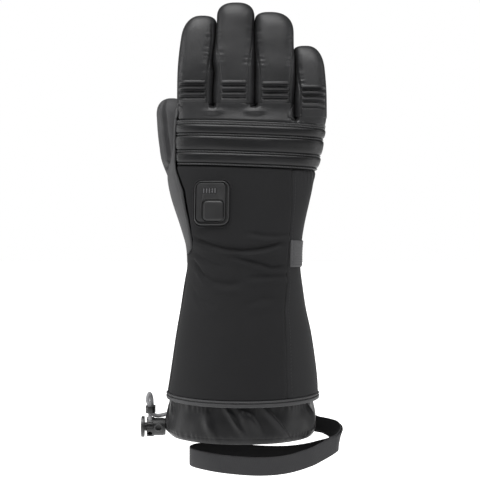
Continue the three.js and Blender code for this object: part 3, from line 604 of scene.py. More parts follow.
def back_relief(x, z, level, share, up):
    edge = -3.0 * bell(share * BACK_REACH, 2.0) * ramp(z, 5, 60)
    out = creased(x, z) + rolled(share, BACK_REACH) + edge - tucked_top(up)
    wrist = bell(z + 25, 45)
    return out + soft_waves(x, z, 4, 7.0, 0.5) * wrist + soft_waves(x, z, 9, 18.0, 0.35)


BACK_HEIGHTS = (-GAUNTLET_LENGTH, KNUCKLE_BOTTOM - SEAM)
BACK_SLOPES = (0, PANEL_SLOPE)


def make_back():
    seams = (thumb_seam_angle, side_seam_angle)
    return body_panel("softshell_back", softshell, BACK_HEIGHTS, seams, (240, 120), back_relief, BACK_SLOPES)


def gusset_relief(x, z, level, share, up):
    out = rolled(share, GUSSET_REACH) - tucked_top(up)
    gathers = 0.45 * np.sin(x * 2.2 + 0.5) * bell(KNUCKLE_BOTTOM - level, 9)
    return out + gathers + soft_waves(x, z, 5, 8.0, 0.4) * bell(z + 20, 40)


GUSSET_SEAMS = (side_seam_angle, wrap_right)


# The side panel takes the lighter copy of the softshell, which is painted light
def make_gusset():
    grid = (180, 36)
    name = "softshell_side"
    return body_panel(name, gusset_shell, BACK_HEIGHTS, GUSSET_SEAMS, grid, gusset_relief, BACK_SLOPES)


# Rolls the knuckle panel's and the yoke's edges in, with a deep fold beside the palm's rim
def thumb_side_roll(share):
    return rolled(share, KNUCKLE_REACH, 1.0, 1.6) - 4.2 * bell(share * KNUCKLE_REACH, 2.6)


# Each channel swells between a groove above it and a narrow stitched band at its foot
BAND_FOOT = 2.2


def knuckle_relief(x, z, level, share, up):
    out = np.full_like(x, -0.4)
    ends = ramp(share * KNUCKLE_REACH, 0, 7) * ramp((1 - share) * KNUCKLE_REACH, 2, 20)
    foot = KNUCKLE_BOTTOM
    for height in CHANNELS[::-1]:
        over = level - foot
        swell = np.clip((over - BAND_FOOT) / (height - BAND_FOOT), 0, 1)
        crown = (1.25 * (1 - np.abs(2 * swell - 1) ** 3) ** 0.6 + 0.45 * swell) * mix(0.2, 1, ends) + 0.2
        narrow = 0.75 * (1 - np.abs(2 * np.clip(over / BAND_FOOT, 0, 1) - 1) ** 3) - 0.1
        here = np.where(over < BAND_FOOT, narrow, crown)
        here = here - 0.6 * bell(over, 0.35) - 0.45 * bell(over - BAND_FOOT, 0.3)
        out = np.where((over >= 0) & (over <= height), here, out)
        foot += height
    over = level - foot
    strip = 1.1 * (1 - np.abs(2 * np.clip(over / STRIP, 0, 1) - 1) ** 4) - 0.3 * bell(over - STRIP / 2, 0.4)
    out = np.where(over >= 0, strip - 0.1, out)
    dimples = soft_waves(x, z, 12, 5.0, 0.3) + soft_waves(x * 0.5, z, 14, 3.0, 0.2)
    return out + dimples * ends + thumb_side_roll(share)


KNUCKLE_HEIGHTS = (KNUCKLE_BOTTOM + SEAM / 2, KNUCKLE_TOP - SEAM / 2)
KNUCKLE_SEAMS = (thumb_seam_angle, wrap_right)
KNUCKLE_SLOPES = (PANEL_SLOPE, PANEL_SLOPE)


def make_knuckles():
    return body_panel(
        "padded_knuckle_channels",
        channel_leather,
        KNUCKLE_HEIGHTS,
        KNUCKLE_SEAMS,
        (150, 150),
        knuckle_relief,
        KNUCKLE_SLOPES,
    )


# Fingers: middles, and where each web lies
def finger_middles():
    edge = KNUCKLE_SHIFT - HALF_KNUCKLES
    middles = []
    for finger in FINGERS:
        middles.append(edge + finger["width"] / 2)
        edge += finger["width"] + FINGER_GAP
    return middles


MIDDLES = finger_middles()
WEB_DEPTH = 9
WEBS = [middle + finger["width"] / 2 + FINGER_GAP / 2 for finger, middle in zip(FINGERS[:3], MIDDLES[:3])]


# The top of the hand, which steps down to the little finger's root
def body_top(x):
    return HAND_LENGTH - FINGERS[3]["drop"] * ramp(x, WEBS[2] - 1.0, WEBS[2] + 1.8)


# Draws the leather above the knuckles into the fingers' roots, with rounded sides and a web between them
ROOT_ROUND = 14.5
ROOT_POWER = 3.2


def into_fingers(x, y, z):
    top = body_top(x)
    low = [HAND_LENGTH, HAND_LENGTH, HAND_LENGTH - FINGERS[3]["drop"]]
    front = np.where(y < 0, -1.0, 1.0)
    inside = np.clip((HALF_KNUCKLES - np.abs(x - KNUCKLE_SHIFT)) / ROOT_ROUND, 0, 1)
    rounding = (1 - (1 - inside) ** ROOT_POWER) ** (1 / ROOT_POWER)
    goal = front * (FINGER_DEPTH / 2) * rounding - FINGER_SET_BACK * rounding
    y = mix(y, goal, ramp(z, top - 20, top - 0.5))
    for web, height in zip(WEBS, low):
        fold = bell(x - web, 2.0) * ramp(z, height - 4.5, height - 0.5)
        rim = 0.9 * (bell(x - web + 3.6, 1.3) + bell(x - web - 3.6, 1.3)) * ramp(z, height - 6, height - 2)
        brow = 2.2 * bell(x - web, 6.0) * bell(z - height + 6.6, 2.6)
        y = y + front * (rim + brow - WEB_DEPTH * fold)
    return y


# Shares across a panel that crowd towards the webs, so that each web's fold has its own columns
def crowded(columns, seams, high):
    even = np.linspace(0, 1, 4001)
    z = np.full_like(even, high)
    x, _ = skin(mix(seams[0](z), seams[1](z), even), z)
    density = 1 + sum(4 * bell(x - web, 3.0) for web in WEBS)
    run = np.concatenate([[0], np.cumsum((density[1:] + density[:-1]) / 2)])
    return np.interp(np.linspace(0, run[-1], columns), run, even)


# Points of a panel that ends at the fingers' roots. Its relief gets X, Z and both shares.
def upper_points(up, share, low, seams, relief, slope=0.0):
    z = np.full_like(up, low)
    for _ in range(4):
        angle = mix(seams[0](z), seams[1](z), share)
        x, y = skin(angle, z)
        z = mix(low - slope * x, body_top(x), up)
    angle = mix(seams[0](z), seams[1](z), share)
    x, y = skin(angle, z)
    x, y = skin(angle, z, relief(x, z, share, up) * (1 - ramp(z, body_top(x) - 4, body_top(x))))
    return np.stack([x, into_fingers(x, y, z), z], axis=-1)


def upper_panel(name, material, low, seams, grid, relief, slope=0.0):
    shares = crowded(grid[1], seams, HAND_LENGTH - 1)
    up, share = np.meshgrid(np.linspace(0, 1, grid[0]), shares, indexing="ij")
    return grid_piece(name, upper_points(up, share, low, seams, relief, slope), material, thickness=0.8)


YOKE_RUN = 15


# A slanting fold below the little finger, over soft waves
def yoke_relief(x, z, share, up):
    folds = 0.7 * bell((z - 113) - 0.55 * (x - 44), 1.6) * ramp(x, 42, 48) * (1 - ramp(x, 56, 66))
    pulled = soft_waves(x, z, 3, 5.0, 0.6)
    return thumb_side_roll(share) - 0.8 * bell(up * YOKE_RUN, 0.9) + pulled + folds


def make_yoke():
    low = KNUCKLE_TOP + SEAM / 2
    return upper_panel("back_yoke", goat_leather, low, KNUCKLE_SEAMS, (60, 250), yoke_relief, PANEL_SLOPE)


TIP_LENGTH = 16.5
TIP_POWER = 2.3
TUCK_PITCH = 4.9


# Rows along a stall as shares of its length, close together over its tip, and how narrow the tip is at each
def stall_rows(length, straight, cap, start=0.0):
    plain = np.linspace(start, 1 - TIP_LENGTH / length, straight)
    turn = np.linspace(0, math.pi / 2, cap + 1)[1:]
    capped = 1 - TIP_LENGTH / length * (1 - np.sin(turn) ** (2 / TIP_POWER))
    narrow = np.concatenate([np.ones(straight), np.maximum(np.cos(turn), 0.0) ** (2 / TIP_POWER)])
    return np.concatenate([plain, capped]), narrow


# Shares of each finger's half width where the seams of its side strips run, on its thumb side and the other
STRIP_SEAMS = [(-0.93, 0.7), (-0.66, 0.68), (-0.72, 0.78), (-0.64, 0.9)]


# The tucks across a finger's back: each one's number up from the middle one, and its height
TUCKS = [(-1, 0.9), (0, 2.1), (1, 2.3), (2, 2.4)]


# A finger's tucks, the seams beside them, the puckers that the seams pull, and wrinkles
def finger_relief(number, x, z, along, front):
    finger = FINGERS[number]
    across = x / (finger["width"] / 2)
    over = z - finger["tucks"]
    on_back = ramp(front, 0.25, 0.55)
    low, high = STRIP_SEAMS[number]
    spread = mix(1.0, 1.38, ramp(along, 0.22, 0.75))
    left = np.maximum(low * spread, -0.985)
    right = np.minimum(high * spread, 0.985)
    between_seams = ramp(across, left + 0.02, left + 0.12) * (1 - ramp(across, right - 0.12, right - 0.02))
    out = np.zeros_like(x)
    for tuck, height in TUCKS:
        above = over - tuck * TUCK_PITCH
        width = np.where(above > 0, 0.65, 1.0)
        out += height * bell(above, width) * on_back * between_seams
        out -= 1.2 * bell(above + 2.1, 0.8) * on_back * between_seams
    fade = 1 - ramp(along, 0.75, 0.95)
    for seam, side in ((left, -1), (right, 1)):
        beside = (across - seam) * finger["width"] / 2 * side
        out -= 0.95 * bell(beside, 0.55) * fade * ramp(np.abs(front), 0.08, 0.3)
        out += 0.35 * bell(beside + 1.5, 0.8) * fade * on_back
        pucker = np.sin(z * 1.05 + 2.2 * np.sin(z * 0.31 + number)) * np.sin(z * 0.23 + 2 * number + side)
        out += 0.35 * pucker * bell(beside + 1.8, 2.6) * ramp(along, 0.25, 0.35) * fade
    slant = 0.5 * x * (1 if number < 2 else -0.6)
    wrinkles = soft_waves(slant, z + 17 * number, 20 + number, 3.6, 0.75)
    out += wrinkles * (0.3 + 0.7 * ramp(np.abs(across), 0.3, 0.9)) * (1 - 0.7 * ramp(along, 0.6, 0.9))
    out += soft_waves(x, z, 30 + number, 9.0, 0.5)
    return out * ramp(z, 0.0, 3.0)


# X of each crevice between two fingers at heights up it, read from the photograph
CREVICES = [
    [(123, -25.5), (133, -25.5), (148, -24.4), (157, -25.9)]
    + [(162, -25.5), (174, -23.8), (186, -23.1), (192, -22.3)],
    [(123, 8.7), (162, 9.0), (180, 8.2), (193, 8.7)],
    [(112, 40.3), (127, 40.7), (138, 41.8), (157, 41.8), (171, 40.8)],
]
# Each fingertip's highest place in X, and how far below it each side starts to round, in mm
TIPS = [(-34.6, 19, 8), (-6.3, 13, 13), (20.5, 8, 19), (51.0, 4.5, 21)]


# A stall's left and right edges in X at some heights. Neighbours meet along their crevice.
def finger_edges(number, z):
    finger = FINGERS[number]
    along = np.clip((z - HAND_LENGTH + finger["drop"]) / finger["length"], 0, 1)
    half = finger["width"] / 2 * (1 - finger["taper"] * ramp(along, 0.3, 0.85))
    middle = MIDDLES[number] + finger["lean"] * along**3
    left, right = middle - half, middle + half
    if number > 0:
        left = np.interp(z, *np.array(CREVICES[number - 1]).T)
    if number < 3:
        right = np.interp(z, *np.array(CREVICES[number]).T)
    return left, right


# How much of a side's reach is left where it rounds to the tip, cap mm below it
def tip_narrow(below, cap, power=2.5):
    share = np.clip(1 - below / cap, 0, 1)
    return np.maximum(1 - share**power, 0) ** (1 / power)


# Each finger starts inside the hand, where it is a little smaller
ROOT_ROWS = np.array([-7, -1.2])
ROOT_INSET = 1.3


def make_finger(number):
    finger = FINGERS[number]
    along, _ = stall_rows(finger["length"], 112, 22)
    along = np.concatenate([ROOT_ROWS / finger["length"], along])
    turn = np.linspace(-math.pi, math.pi, 105)
    along, angle = np.meshgrid(along, turn, indexing="ij")
    inset = np.where(along < 0, ROOT_INSET, 0.0)
    over = np.maximum(along, 0)
    z = along * finger["length"] + HAND_LENGTH - finger["drop"]
    left, right = finger_edges(number, z)
    below = (1 - along) * finger["length"]
    peak, cap_left, cap_right = TIPS[number]
    middle = mix((left + right) / 2, peak, ramp(over, 0.5, 0.95))
    left = (middle - left - inset) * tip_narrow(below, cap_left)
    right = (right - middle - inset) * tip_narrow(below, cap_right)
    deep = FINGER_DEPTH / 2 * (1 - 0.13 * ramp(over, 0.3, 1.0)) - inset
    power = mix(3.4, 2.7, over)
    x, _ = rounded_square(angle, left, right, deep, deep, power)
    out = finger_relief(number, x + middle - MIDDLES[number], over * finger["length"], over, -np.sin(angle))
    _, y = rounded_square(angle, left, right, deep + out, deep + out, power)
    y = y * tip_narrow(below, TIP_LENGTH) + FINGER_CURL * over**2 - FINGER_SET_BACK
    name = finger["name"] + "_finger_leather"
    return grid_piece(name, np.stack([x + middle, y, z], axis=2), goat_leather, closed=True, thickness=1.6)


# The thumb. Each row is a share of its length, how far its middle is out, as a share of HALF_KNUCKLES, and
# towards the palm, as a share of KNUCKLE_DEPTH, and a share of its own width and depth.
THUMB_WIDTH = 31
THUMB_DEPTH = 28
THUMB_LENGTH = 92
THUMB_ROOT = HAND_LENGTH * 0.334
THUMB_START = 0.03
THUMB_SEAM_TURN = -2.05
THUMB_PALM_SEAM_TURN = 1.2
THUMB_ROWS = np.array(
    [
        (0.0, 0.62, 0.3, 0.8),
        (0.25, 0.77, 0.4, 1.03),
        (0.41, 0.87, 0.52, 1.02),
        (0.55, 0.91, 0.62, 1.0),
        (0.68, 0.94, 0.7, 0.99),
        (0.8, 0.962, 0.765, 0.97),
        (1.0, 1.0, 0.845, 0.95),
    ]
)


# How far an angle is from another, the shorter way round
def turned_from(angle, other):
    return np.angle(np.exp(1j * (angle - other)))


def thumb_relief(angle, along):
    from_seam = turned_from(angle, THUMB_SEAM_TURN)
    seam = bell(from_seam, 0.1) * ramp(along, 0.36, 0.46)
    palm_seam = bell(turned_from(angle, THUMB_PALM_SEAM_TURN), 0.075)
    z = along * THUMB_LENGTH
    crease = bell(z - 36 - 4 * np.cos(angle), 2.2) * ramp(-np.sin(angle), 0.0, 0.5)
    out = -3.4 * seam + 0.8 * bell(from_seam + 0.26, 0.12) - 0.7 * palm_seam - 2.8 * crease
    return out + soft_waves(angle * 14, z, 41, 7.0, 0.6)


def make_thumb():
    along, narrow = stall_rows(THUMB_LENGTH, 100, 18, THUMB_START)
    out_share, forward, size = columns_at(THUMB_ROWS, along)
    turn = np.linspace(-math.pi, math.pi, 97)
    middle_x, angle = np.meshgrid(-HALF_KNUCKLES * out_share, turn, indexing="ij")
    spread = np.ones_like(angle)
    relief = thumb_relief(angle, along[:, None] * spread)
    half = THUMB_WIDTH / 2 * size[:, None] * spread + relief
    deep = THUMB_DEPTH / 2 * size[:, None] * spread + relief
    x, y = rounded_square(angle, half, half, deep, deep, 2.3 * spread)
    x = x * narrow[:, None] + middle_x
    y = y * narrow[:, None] + KNUCKLE_DEPTH * forward[:, None]
    z = (THUMB_ROOT + along * THUMB_LENGTH)[:, None] * spread
    return grid_piece("thumb_leather", np.stack([x, y, z], axis=2), palm_leather, closed=True, thickness=2.4)


# The palm and its rim, which wraps on to the back at the thumb's side
def palm_end(z):
    return thumb_seam_angle(z) + 2 * math.pi


PALM_SEAMS = (wrap_right, palm_end)


def palm_relief(x, z, share, up):
    from_rim = (1 - share) * PALM_REACH
    rim = 1.7 * bell(from_rim - 1.5, 0.95) - 0.5 * bell(from_rim, 0.6) - 0.35 * bell(from_rim - 3.4, 0.7)
    creases = -1.2 * bell(z - 70 + 0.35 * x, 2.6) * ramp(share, 0.15, 0.4) * (1 - ramp(share, 0.7, 0.9))
    return rim + creases - 0.7 * bell(share * PALM_REACH, 1.2) + soft_waves(x, z, 51, 9.0, 0.6)


# The wrist band covers the seam between the palm's leather and the underside's softshell
BAND_MIDDLE = 1.3
BAND_HEIGHT = 21.5
BAND_THICKNESS = 1.6
BAND_HEIGHTS = (BAND_MIDDLE - BAND_HEIGHT / 2, BAND_MIDDLE + BAND_HEIGHT / 2)


def make_palm():
    low = BAND_MIDDLE + SEAM / 2
    return upper_panel("palm_leather_panel", palm_leather, low, PALM_SEAMS, (110, 180), palm_relief)


def underside_relief(x, z, level, share, up):
    out = rolled(share, PALM_REACH, 0.6, 1.3) + soft_waves(x, z, 61, 8.0, 0.8) * bell(z + 15, 40)
    return out + soft_waves(x, z, 62, 20.0, 0.5)


def make_underside():
    heights = (-GAUNTLET_LENGTH, BAND_MIDDLE - SEAM / 2)
    return body_panel("softshell_underside", softshell, heights, PALM_SEAMS, (90, 110), underside_relief)


# The band runs from the back, at the little finger's side, round to the palm's far side
def band_start(z):
    return angle_on_back(body_at(z)[1] * 0.79, z)


def band_finish(z):
    return -angle_on_back(body_at(z)[0] * -0.86, z)


BAND_SEAMS = (band_start, band_finish)
RIB_TURN = 6.28 / 2.1  # radians for each mm, which is a rib every 2.1 mm


def band_relief(x, z, level, share, up):
    edge = np.minimum(up, 1 - up) * BAND_HEIGHT
    ribs = 0.12 * np.sin(level * RIB_TURN)
    pull = -0.5 * bell(share * BAND_REACH, 1.6) - 0.35 * bell(share * BAND_REACH - 3.0, 0.35)
    return BAND_THICKNESS - 0.4 - 0.5 * bell(edge, 0.6) + ribs + pull


def make_band():
    name = "wrist_elastic"
    return body_panel(name, elastic_band, BAND_HEIGHTS, BAND_SEAMS, (40, 120), band_relief, thickness=1.4)


# Cuff trim: a thin piping over a wider binding. Each place is mm below the cuff and mm outside it.
TRIM_HEIGHT = 5.2
TRIM_PROFILE = np.array(
    [(0.0, -0.3), (0.25, 0.55), (0.7, 0.95), (1.15, 0.8), (1.55, 0.05), (1.85, -0.3), (2.15, 0.1)]
    + [(2.45, 0.75), (3.2, 0.95), (4.2, 0.9), (4.8, 0.75), (5.2, 0.1)]
)


def whole_turn(columns):
    return np.linspace(-math.pi / 2, 1.5 * math.pi, columns + 1)


def make_trim():
    down, angle = np.meshgrid(np.linspace(TRIM_HEIGHT, 0, 26), whole_turn(240), indexing="ij")
    proud = smooth_between(TRIM_PROFILE[:, 0], TRIM_PROFILE[:, 1], down)
    z = -GAUNTLET_LENGTH - SEAM - down
    x, y = skin(angle, z, proud)
    z = z - cuff_sag(angle)
    points = np.stack([x, y, z], axis=2)
    return grid_piece("cuff_piping_and_binding", points, binding, closed=True, thickness=2.8)


# Snow skirt: gathered folds that lean, with a hem that carries the drawcord and a bulge where the lock is.
# Each row is a share of its drop, then shares of how far it stands out, how deep its folds are and the bulge.
SKIRT_TOP = -GAUNTLET_LENGTH - SEAM - TRIM_HEIGHT - SEAM
SKIRT_DROP = 30
SKIRT_INSET = 2.2
BULGE_RISE = 2.4
BULGE_TURN = math.pi
SKIRT_ROWS = np.array(
    [
        (0.0, 0.0, 0.45, 0.0),
        (0.22, 0.35, 1.0, 0.0),
        (0.45, 0.75, 1.0, 0.35),
        (0.66, 0.9, 1.0, 0.9),
        (0.84, 0.7, 0.8, 1.0),
        (0.93, 0.2, 0.5, 0.55),
        (1.0, -0.6, 0.3, 0.0),
    ]
)


# Folds at random places, each with one steep side, about their mean
def skirt_folds(angle, down):
    random = np.random.default_rng(8)
    out = np.zeros_like(angle)
    for _ in range(34):
        start = random.uniform(-math.pi, math.pi)
        lean = random.uniform(0.1, 0.4)
        width = random.uniform(0.04, 0.1)
        height = random.uniform(0.35, 1.0)
        reach = random.uniform(0.25, 0.6)
        middle = random.uniform(0.15, 0.85)
        away = turned_from(angle, start + lean * (down - 0.5))
        out += height * bell(away, width * np.where(away > 0, 0.4, 1.0)) * bell(down - middle, reach)
    return out - out.mean()


def make_skirt():
    down, angle = np.meshgrid(np.linspace(1, 0, 80), whole_turn(320), indexing="ij")
    out, folds, bulge = columns_at(SKIRT_ROWS, down)
    gather = 0.4 * np.sin(12 * angle + 2.6 * down) + 4.2 * skirt_folds(angle, down)
    puckers = 0.22 * np.sin(70 * angle + 3 * np.sin(9 * angle)) * (bell(down, 0.14) + bell(down - 0.84, 0.08))
    bulge = BULGE_RISE * bulge * bell(turned_from(angle, BULGE_TURN), 0.16)
    hem = -0.2 * bell(down - 0.84, 0.018) - 2.4 * ramp(np.cos(angle), 0.3, 1)
    folds = folds * mix(0.4, 1, np.abs(np.sin(angle)))
    proud = SKIRT_INSET * (out - 1) + folds * gather + puckers + hem + bulge
    z = SKIRT_TOP - down * SKIRT_DROP - cuff_sag(angle) * (1 - 0.4 * down)
    x, y = skin(angle, np.full_like(z, -GAUNTLET_LENGTH), proud)
    return grid_piece("snow_skirt_cloth", np.stack([x, y, z], axis=2), nylon, closed=True, thickness=0.6)


# Leash: two layers leave the skirt's palm side, turn round at the little finger's side and open to a loop.
# Each place is across and deep, as shares of the reach that clears the skirt, and down, as a share of the
# leash's drop. Where the layers lie together, it has the strap's lean in degrees too.
STRAP_WIDTH = 14.5
STRAP_THICKNESS = 1.3
LEASH_BELOW_SKIRT = 19.2
LEASH_DROP = TRIM_HEIGHT + SKIRT_DROP + 2 * SEAM + LEASH_BELOW_SKIRT
LEASH_AWAY = 1 + 1.5 * STRAP_THICKNESS + 2 * SEAM
LEASH_PAIR = [
    (0.128, 0.957, 0.47, 0),
    (0.473, 0.913, 0.49, 3),
    (0.729, 0.774, 0.53, 18),
    (0.946, 0.612, 0.58, 50),
    (1.087, 0.445, 0.595, 52),
    (1.165, 0.241, 0.62, 38),
    (1.2, 0.019, 0.69, 20),
    (1.178, -0.158, 0.75, 8),
    (1.093, -0.264, 0.79, 3),
]
LEASH_LOOP = [
    (0.965, -0.422, 0.85),
    (0.825, -0.556, 0.905),
    (0.518, -0.723, 0.98),
    (0.192, -0.793, 1.0),
    (-0.224, -0.769, 0.97),
    (-0.492, -0.64, 0.94),
    (-0.646, -0.436, 0.927),
    (-0.678, -0.25, 0.92),
    (-0.607, -0.083, 0.91),
    (-0.435, 0.019, 0.91),
    (-0.23, 0.06, 0.92),
    (0.205, 0.083, 0.965),
    (0.55, -0.009, 0.955),
    (0.78, -0.13, 0.905),
    (0.952, -0.218, 0.845),
]


def unit(vectors):
    return vectors / np.linalg.norm(vectors, axis=-1, keepdims=True)


# The inside of the leash's loop faces this place
LEASH_MIDDLE = Vector((10, -12, 0))


def leash_point(across, deep, down):
    z = -GAUNTLET_LENGTH - down * LEASH_DROP
    return np.array([across * (CUFF[2] + LEASH_AWAY), deep * (CUFF[4] + LEASH_AWAY), z])


def leash_places():
    pair = np.array([leash_point(*row[:3]) for row in LEASH_PAIR])
    along = unit(np.gradient(pair, axis=0))
    lean = np.radians([row[3] for row in LEASH_PAIR])[:, None]
    upright = np.array([0, 0, 1.0])
    outwards = unit(np.cross(np.broadcast_to(upright, along.shape), along))
    edge = upright * np.cos(lean) + outwards * np.sin(lean)
    edge = unit(edge - along * np.sum(edge * along, axis=1, keepdims=True))
    inwards = np.cross(along, edge) * (STRAP_THICKNESS + 2 * SEAM) / 2
    loop = np.array([leash_point(*row) for row in LEASH_LOOP])
    centres = np.concatenate([pair - inwards, loop, (pair + inwards)[::-1]])
    edges = np.concatenate([edge, np.broadcast_to(upright, loop.shape), edge[::-1]])
    return centres, edges


# How far along a line each of its points lies
def run_along(points):
    return np.concatenate([[0], np.cumsum(np.linalg.norm(np.diff(points, axis=0), axis=1))])


def line_at(at, places, where):
    return np.stack([curve_through(at, axis, np.gradient(axis, at), where) for axis in places.T], axis=1)


# A smooth line through places as even steps, and the number of the place, with its share, at each step
def smooth_line(places, steps):
    gaps = np.sqrt(np.linalg.norm(np.diff(places, axis=0), axis=1))
    at = np.concatenate([[0], np.cumsum(gaps)])
    fine = np.linspace(0, at[-1], 4000)
    length = run_along(line_at(at, places, fine))
    even = np.interp(np.linspace(0, length[-1], steps), length, fine)
    return line_at(at, places, even), np.interp(even, at, np.arange(len(places)))


# The webbing's section as thickness and height, from the outer face round its low edge to its inner face
def strap_section():
    outer = STRAP_THICKNESS / 2
    edge = STRAP_WIDTH / 2
    heights = np.linspace(1, -1, 15) * (edge - 0.3)
    section = [(outer, height) for height in heights]
    section += [(outer * 0.6, -edge), (outer * -0.6, -edge)]
    section += [(-outer, height) for height in heights[::-1]]
    section += [(outer * -0.6, edge), (outer * 0.6, edge), section[0]]
    return section


def make_leash():
    centres, edges = leash_places()
    points, place = smooth_line(centres, 420)
    along = unit(np.gradient(points, axis=0))
    whole = np.floor(place).astype(int).clip(0, len(edges) - 2)
    share = (place - whole)[:, None]
    up = edges[whole] * (1 - share) + edges[whole + 1] * share
    up = unit(up - along * np.sum(up * along, axis=1, keepdims=True))
    face = np.cross(along, up)
    rings = [points + face * thick + up * height for thick, height in strap_section()]
    piece = grid_piece("leash_webbing", np.stack(rings, axis=1), webbing, caps=True)
    piece.data.materials.append(webbing_painted_shade)
    # Faces that turn towards the inside of the loop get the darker webbing: painted shade
    for polygon in piece.data.polygons:
        inwards = LEASH_MIDDLE * MM - polygon.center
        if polygon.normal.xy.dot(inwards.xy.normalized()) > 0.3:
            polygon.material_index = 1
    return piece


# Cord: round, plaited by its material, along the same few places as its solid, apart from a narrower loop.
# Each place is a share of the way from the cord's hole to the lock's right end, then Y, and the height over
# the lock's middle.
LOCK_HEIGHT = SKIRT_TOP - 0.794 * SKIRT_DROP
LOCK_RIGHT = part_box("cord_lock_barrel")[1][0] / MM
NECK_LENGTH = 8.2
BARREL_LENGTH = 5.2
CORD_DIAMETER = 3.2
CORD_ACROSS = LOCK_RIGHT - NECK_LENGTH - BARREL_LENGTH / 2
CORD_ROUTE = [
    (1.3, 1.4, 10.4),
    (0.89, 1.8, 9.2),
    (0.52, 2.2, 8.7),
    (0.23, 2.7, 9.4),
    (0.08, 3.0, 11.4),
    (0.09, 2.8, 16.0),
    (0.09, 2.3, 20.0),
    (0.04, 2.1, 24.2),
    (-0.07, 0.2, 27.0),
    (-0.18, -1.7, 24.6),
    (-0.19, -2.4, 21.4),
    (-0.08, -2.9, 18.6),
    (-0.02, -3.1, 15.0),
    (0.0, -3.5, 11.4),
    (0.0, -4.7, 7.2),
    (0.0, -2.4, 3.2),
    (0.0, 0.0, 0.0),
    (0.0, 2.4, -3.2),
    (0.05, 4.9, -6.0),
    (0.25, 7.8, -6.6),
    (0.58, 9.4, -4.8),
    (0.94, 9.6, -2.6),
    (1.3, 9.4, -0.4),
]


# A side direction at each point of a line, carried along it without twisting
def carried_sides(along, first):
    sides = [unit(first - along[0] * np.dot(first, along[0]))]
    for direction in along[1:]:
        side = sides[-1] - direction * np.dot(sides[-1], direction)
        sides.append(unit(side))
    return np.array(sides)


def tube_grid(points, radius, sides):
    along = unit(np.gradient(points, axis=0))
    one = carried_sides(along, np.array([0, 1.0, 0.3]))
    two = np.cross(along, one)
    turn = np.linspace(0, 2 * math.pi, sides + 1)
    ring = one[:, None] * np.cos(turn)[None, :, None] + two[:, None] * np.sin(turn)[None, :, None]
    return points[:, None] + ring * radius


def cord_line():
    places = [(mix(CORD_ACROSS, LOCK_RIGHT, across), y, LOCK_HEIGHT + over) for across, y, over in CORD_ROUTE]
    points, _ = smooth_line(np.array(places), 300)
    inside = points[:, 0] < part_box("drawcord")[1][0] / MM + 0.8
    return points[inside]


def make_cord(points):
    return grid_piece("drawcord_braid", tube_grid(points, CORD_DIAMETER / 2, 16), cord_braid, caps=True)


# Modelling by hand: helpers that start a piece, pick its faces and edges and finish it
def begin(name, material, add, **settings):
    pick_none()
    add(**settings)
    piece = bpy.context.active_object
    piece.name = name
    piece.data.name = name
    piece.data.materials.append(material)
    bpy.ops.object.transform_apply(location=True, rotation=True, scale=True)
    return piece


def pick(piece, faces=None, edges=None):
    bpy.ops.object.mode_set(mode="EDIT")
    bpy.ops.mesh.select_mode(type="FACE" if faces else "EDGE")
    bpy.ops.mesh.select_all(action="DESELECT")
    work = bmesh.from_edit_mesh(piece.data)
    for item in work.faces if faces else work.edges:
        item.select_set((faces or edges)(item))
    bmesh.update_edit_mesh(piece.data)


# Insets the picked faces and lifts what is inside
def step(width, rise):
    bpy.ops.mesh.inset(thickness=width * MM, depth=0)
    bpy.ops.transform.translate(value=(0, 0, rise * MM))


# Back to object mode, which a boolean or a move of the whole mesh needs
def leave_edit():
    if bpy.context.mode != "OBJECT":
        bpy.ops.object.mode_set(mode="OBJECT")


SHARP = math.radians(35)


def done(piece, bevel=0.0, smooth=35):
    leave_edit()
    if bevel:
        sharp_edges = {"limit_method": "ANGLE", "angle_limit": SHARP}
        apply_modifier(piece, "BEVEL", {"width": bevel * MM, "segments": 2} | sharp_edges)
    pick_only(piece)
    bpy.ops.object.shade_smooth_by_angle(angle=math.radians(smooth))
    return piece


def cut_out(piece, cutter):
    leave_edit()
    apply_modifier(piece, "BOOLEAN", {"operation": "DIFFERENCE", "solver": "EXACT", "object": cutter})
    bpy.data.objects.remove(cutter)


def upright_edges(edge):
    one, other = [vertex.co for vertex in edge.verts]
    return abs(one.z - other.z) > 0.9 * (one - other).length


# A block with rounded upright corners, its size and middle in mm
def rounded_block(name, material, size, middle, corner, segments=8):
    piece = begin(name, material, bpy.ops.mesh.primitive_cube_add, size=MM, location=[v * MM for v in middle])
    pick(piece, edges=lambda edge: True)
    bpy.ops.mesh.select_all(action="SELECT")
    bpy.ops.transform.resize(value=size, center_override=[v * MM for v in middle])
    pick(piece, edges=upright_edges)
    bpy.ops.mesh.bevel(offset=corner * MM, segments=segments, profile=0.5)
    return piece


def faces_up(face):
    return face.normal.z > 0.9


# Control on the back of the hand, made face up and then laid on the glove as the glove leans there
PAD_WIDTH = 28
PAD_HEIGHT = 35.5
PAD_RISE = 2.6
PAD_CORNER = 6
PAD_ACROSS = -25.7
PAD_UP = KNUCKLE_BOTTOM - 11.6 - PAD_HEIGHT / 2
BUTTON_SIZE = 16
BUTTON_ACROSS = 1.1
BUTTON_DOWN = 5.9
BUTTON_GROOVE = 1.9
BARS = 5
BAR_SIZE = (0.9, 3.7, 1.0)
BAR_POCKET = (1.4, 4.1, 2)
BAR_PITCH = 2.3
BARS_ACROSS = -0.06 * PAD_WIDTH
BARS_UP = 0.275 * PAD_HEIGHT


def bar_across(number):
    return BARS_ACROSS + (number - 2) * BAR_PITCH


def back_place(x, z, out=0.0):
    heights = np.full(1, float(z))
    x, y = skin(angle_on_back(np.full(1, float(x)), heights), heights, out)
    return Vector((x[0], y[0], z))


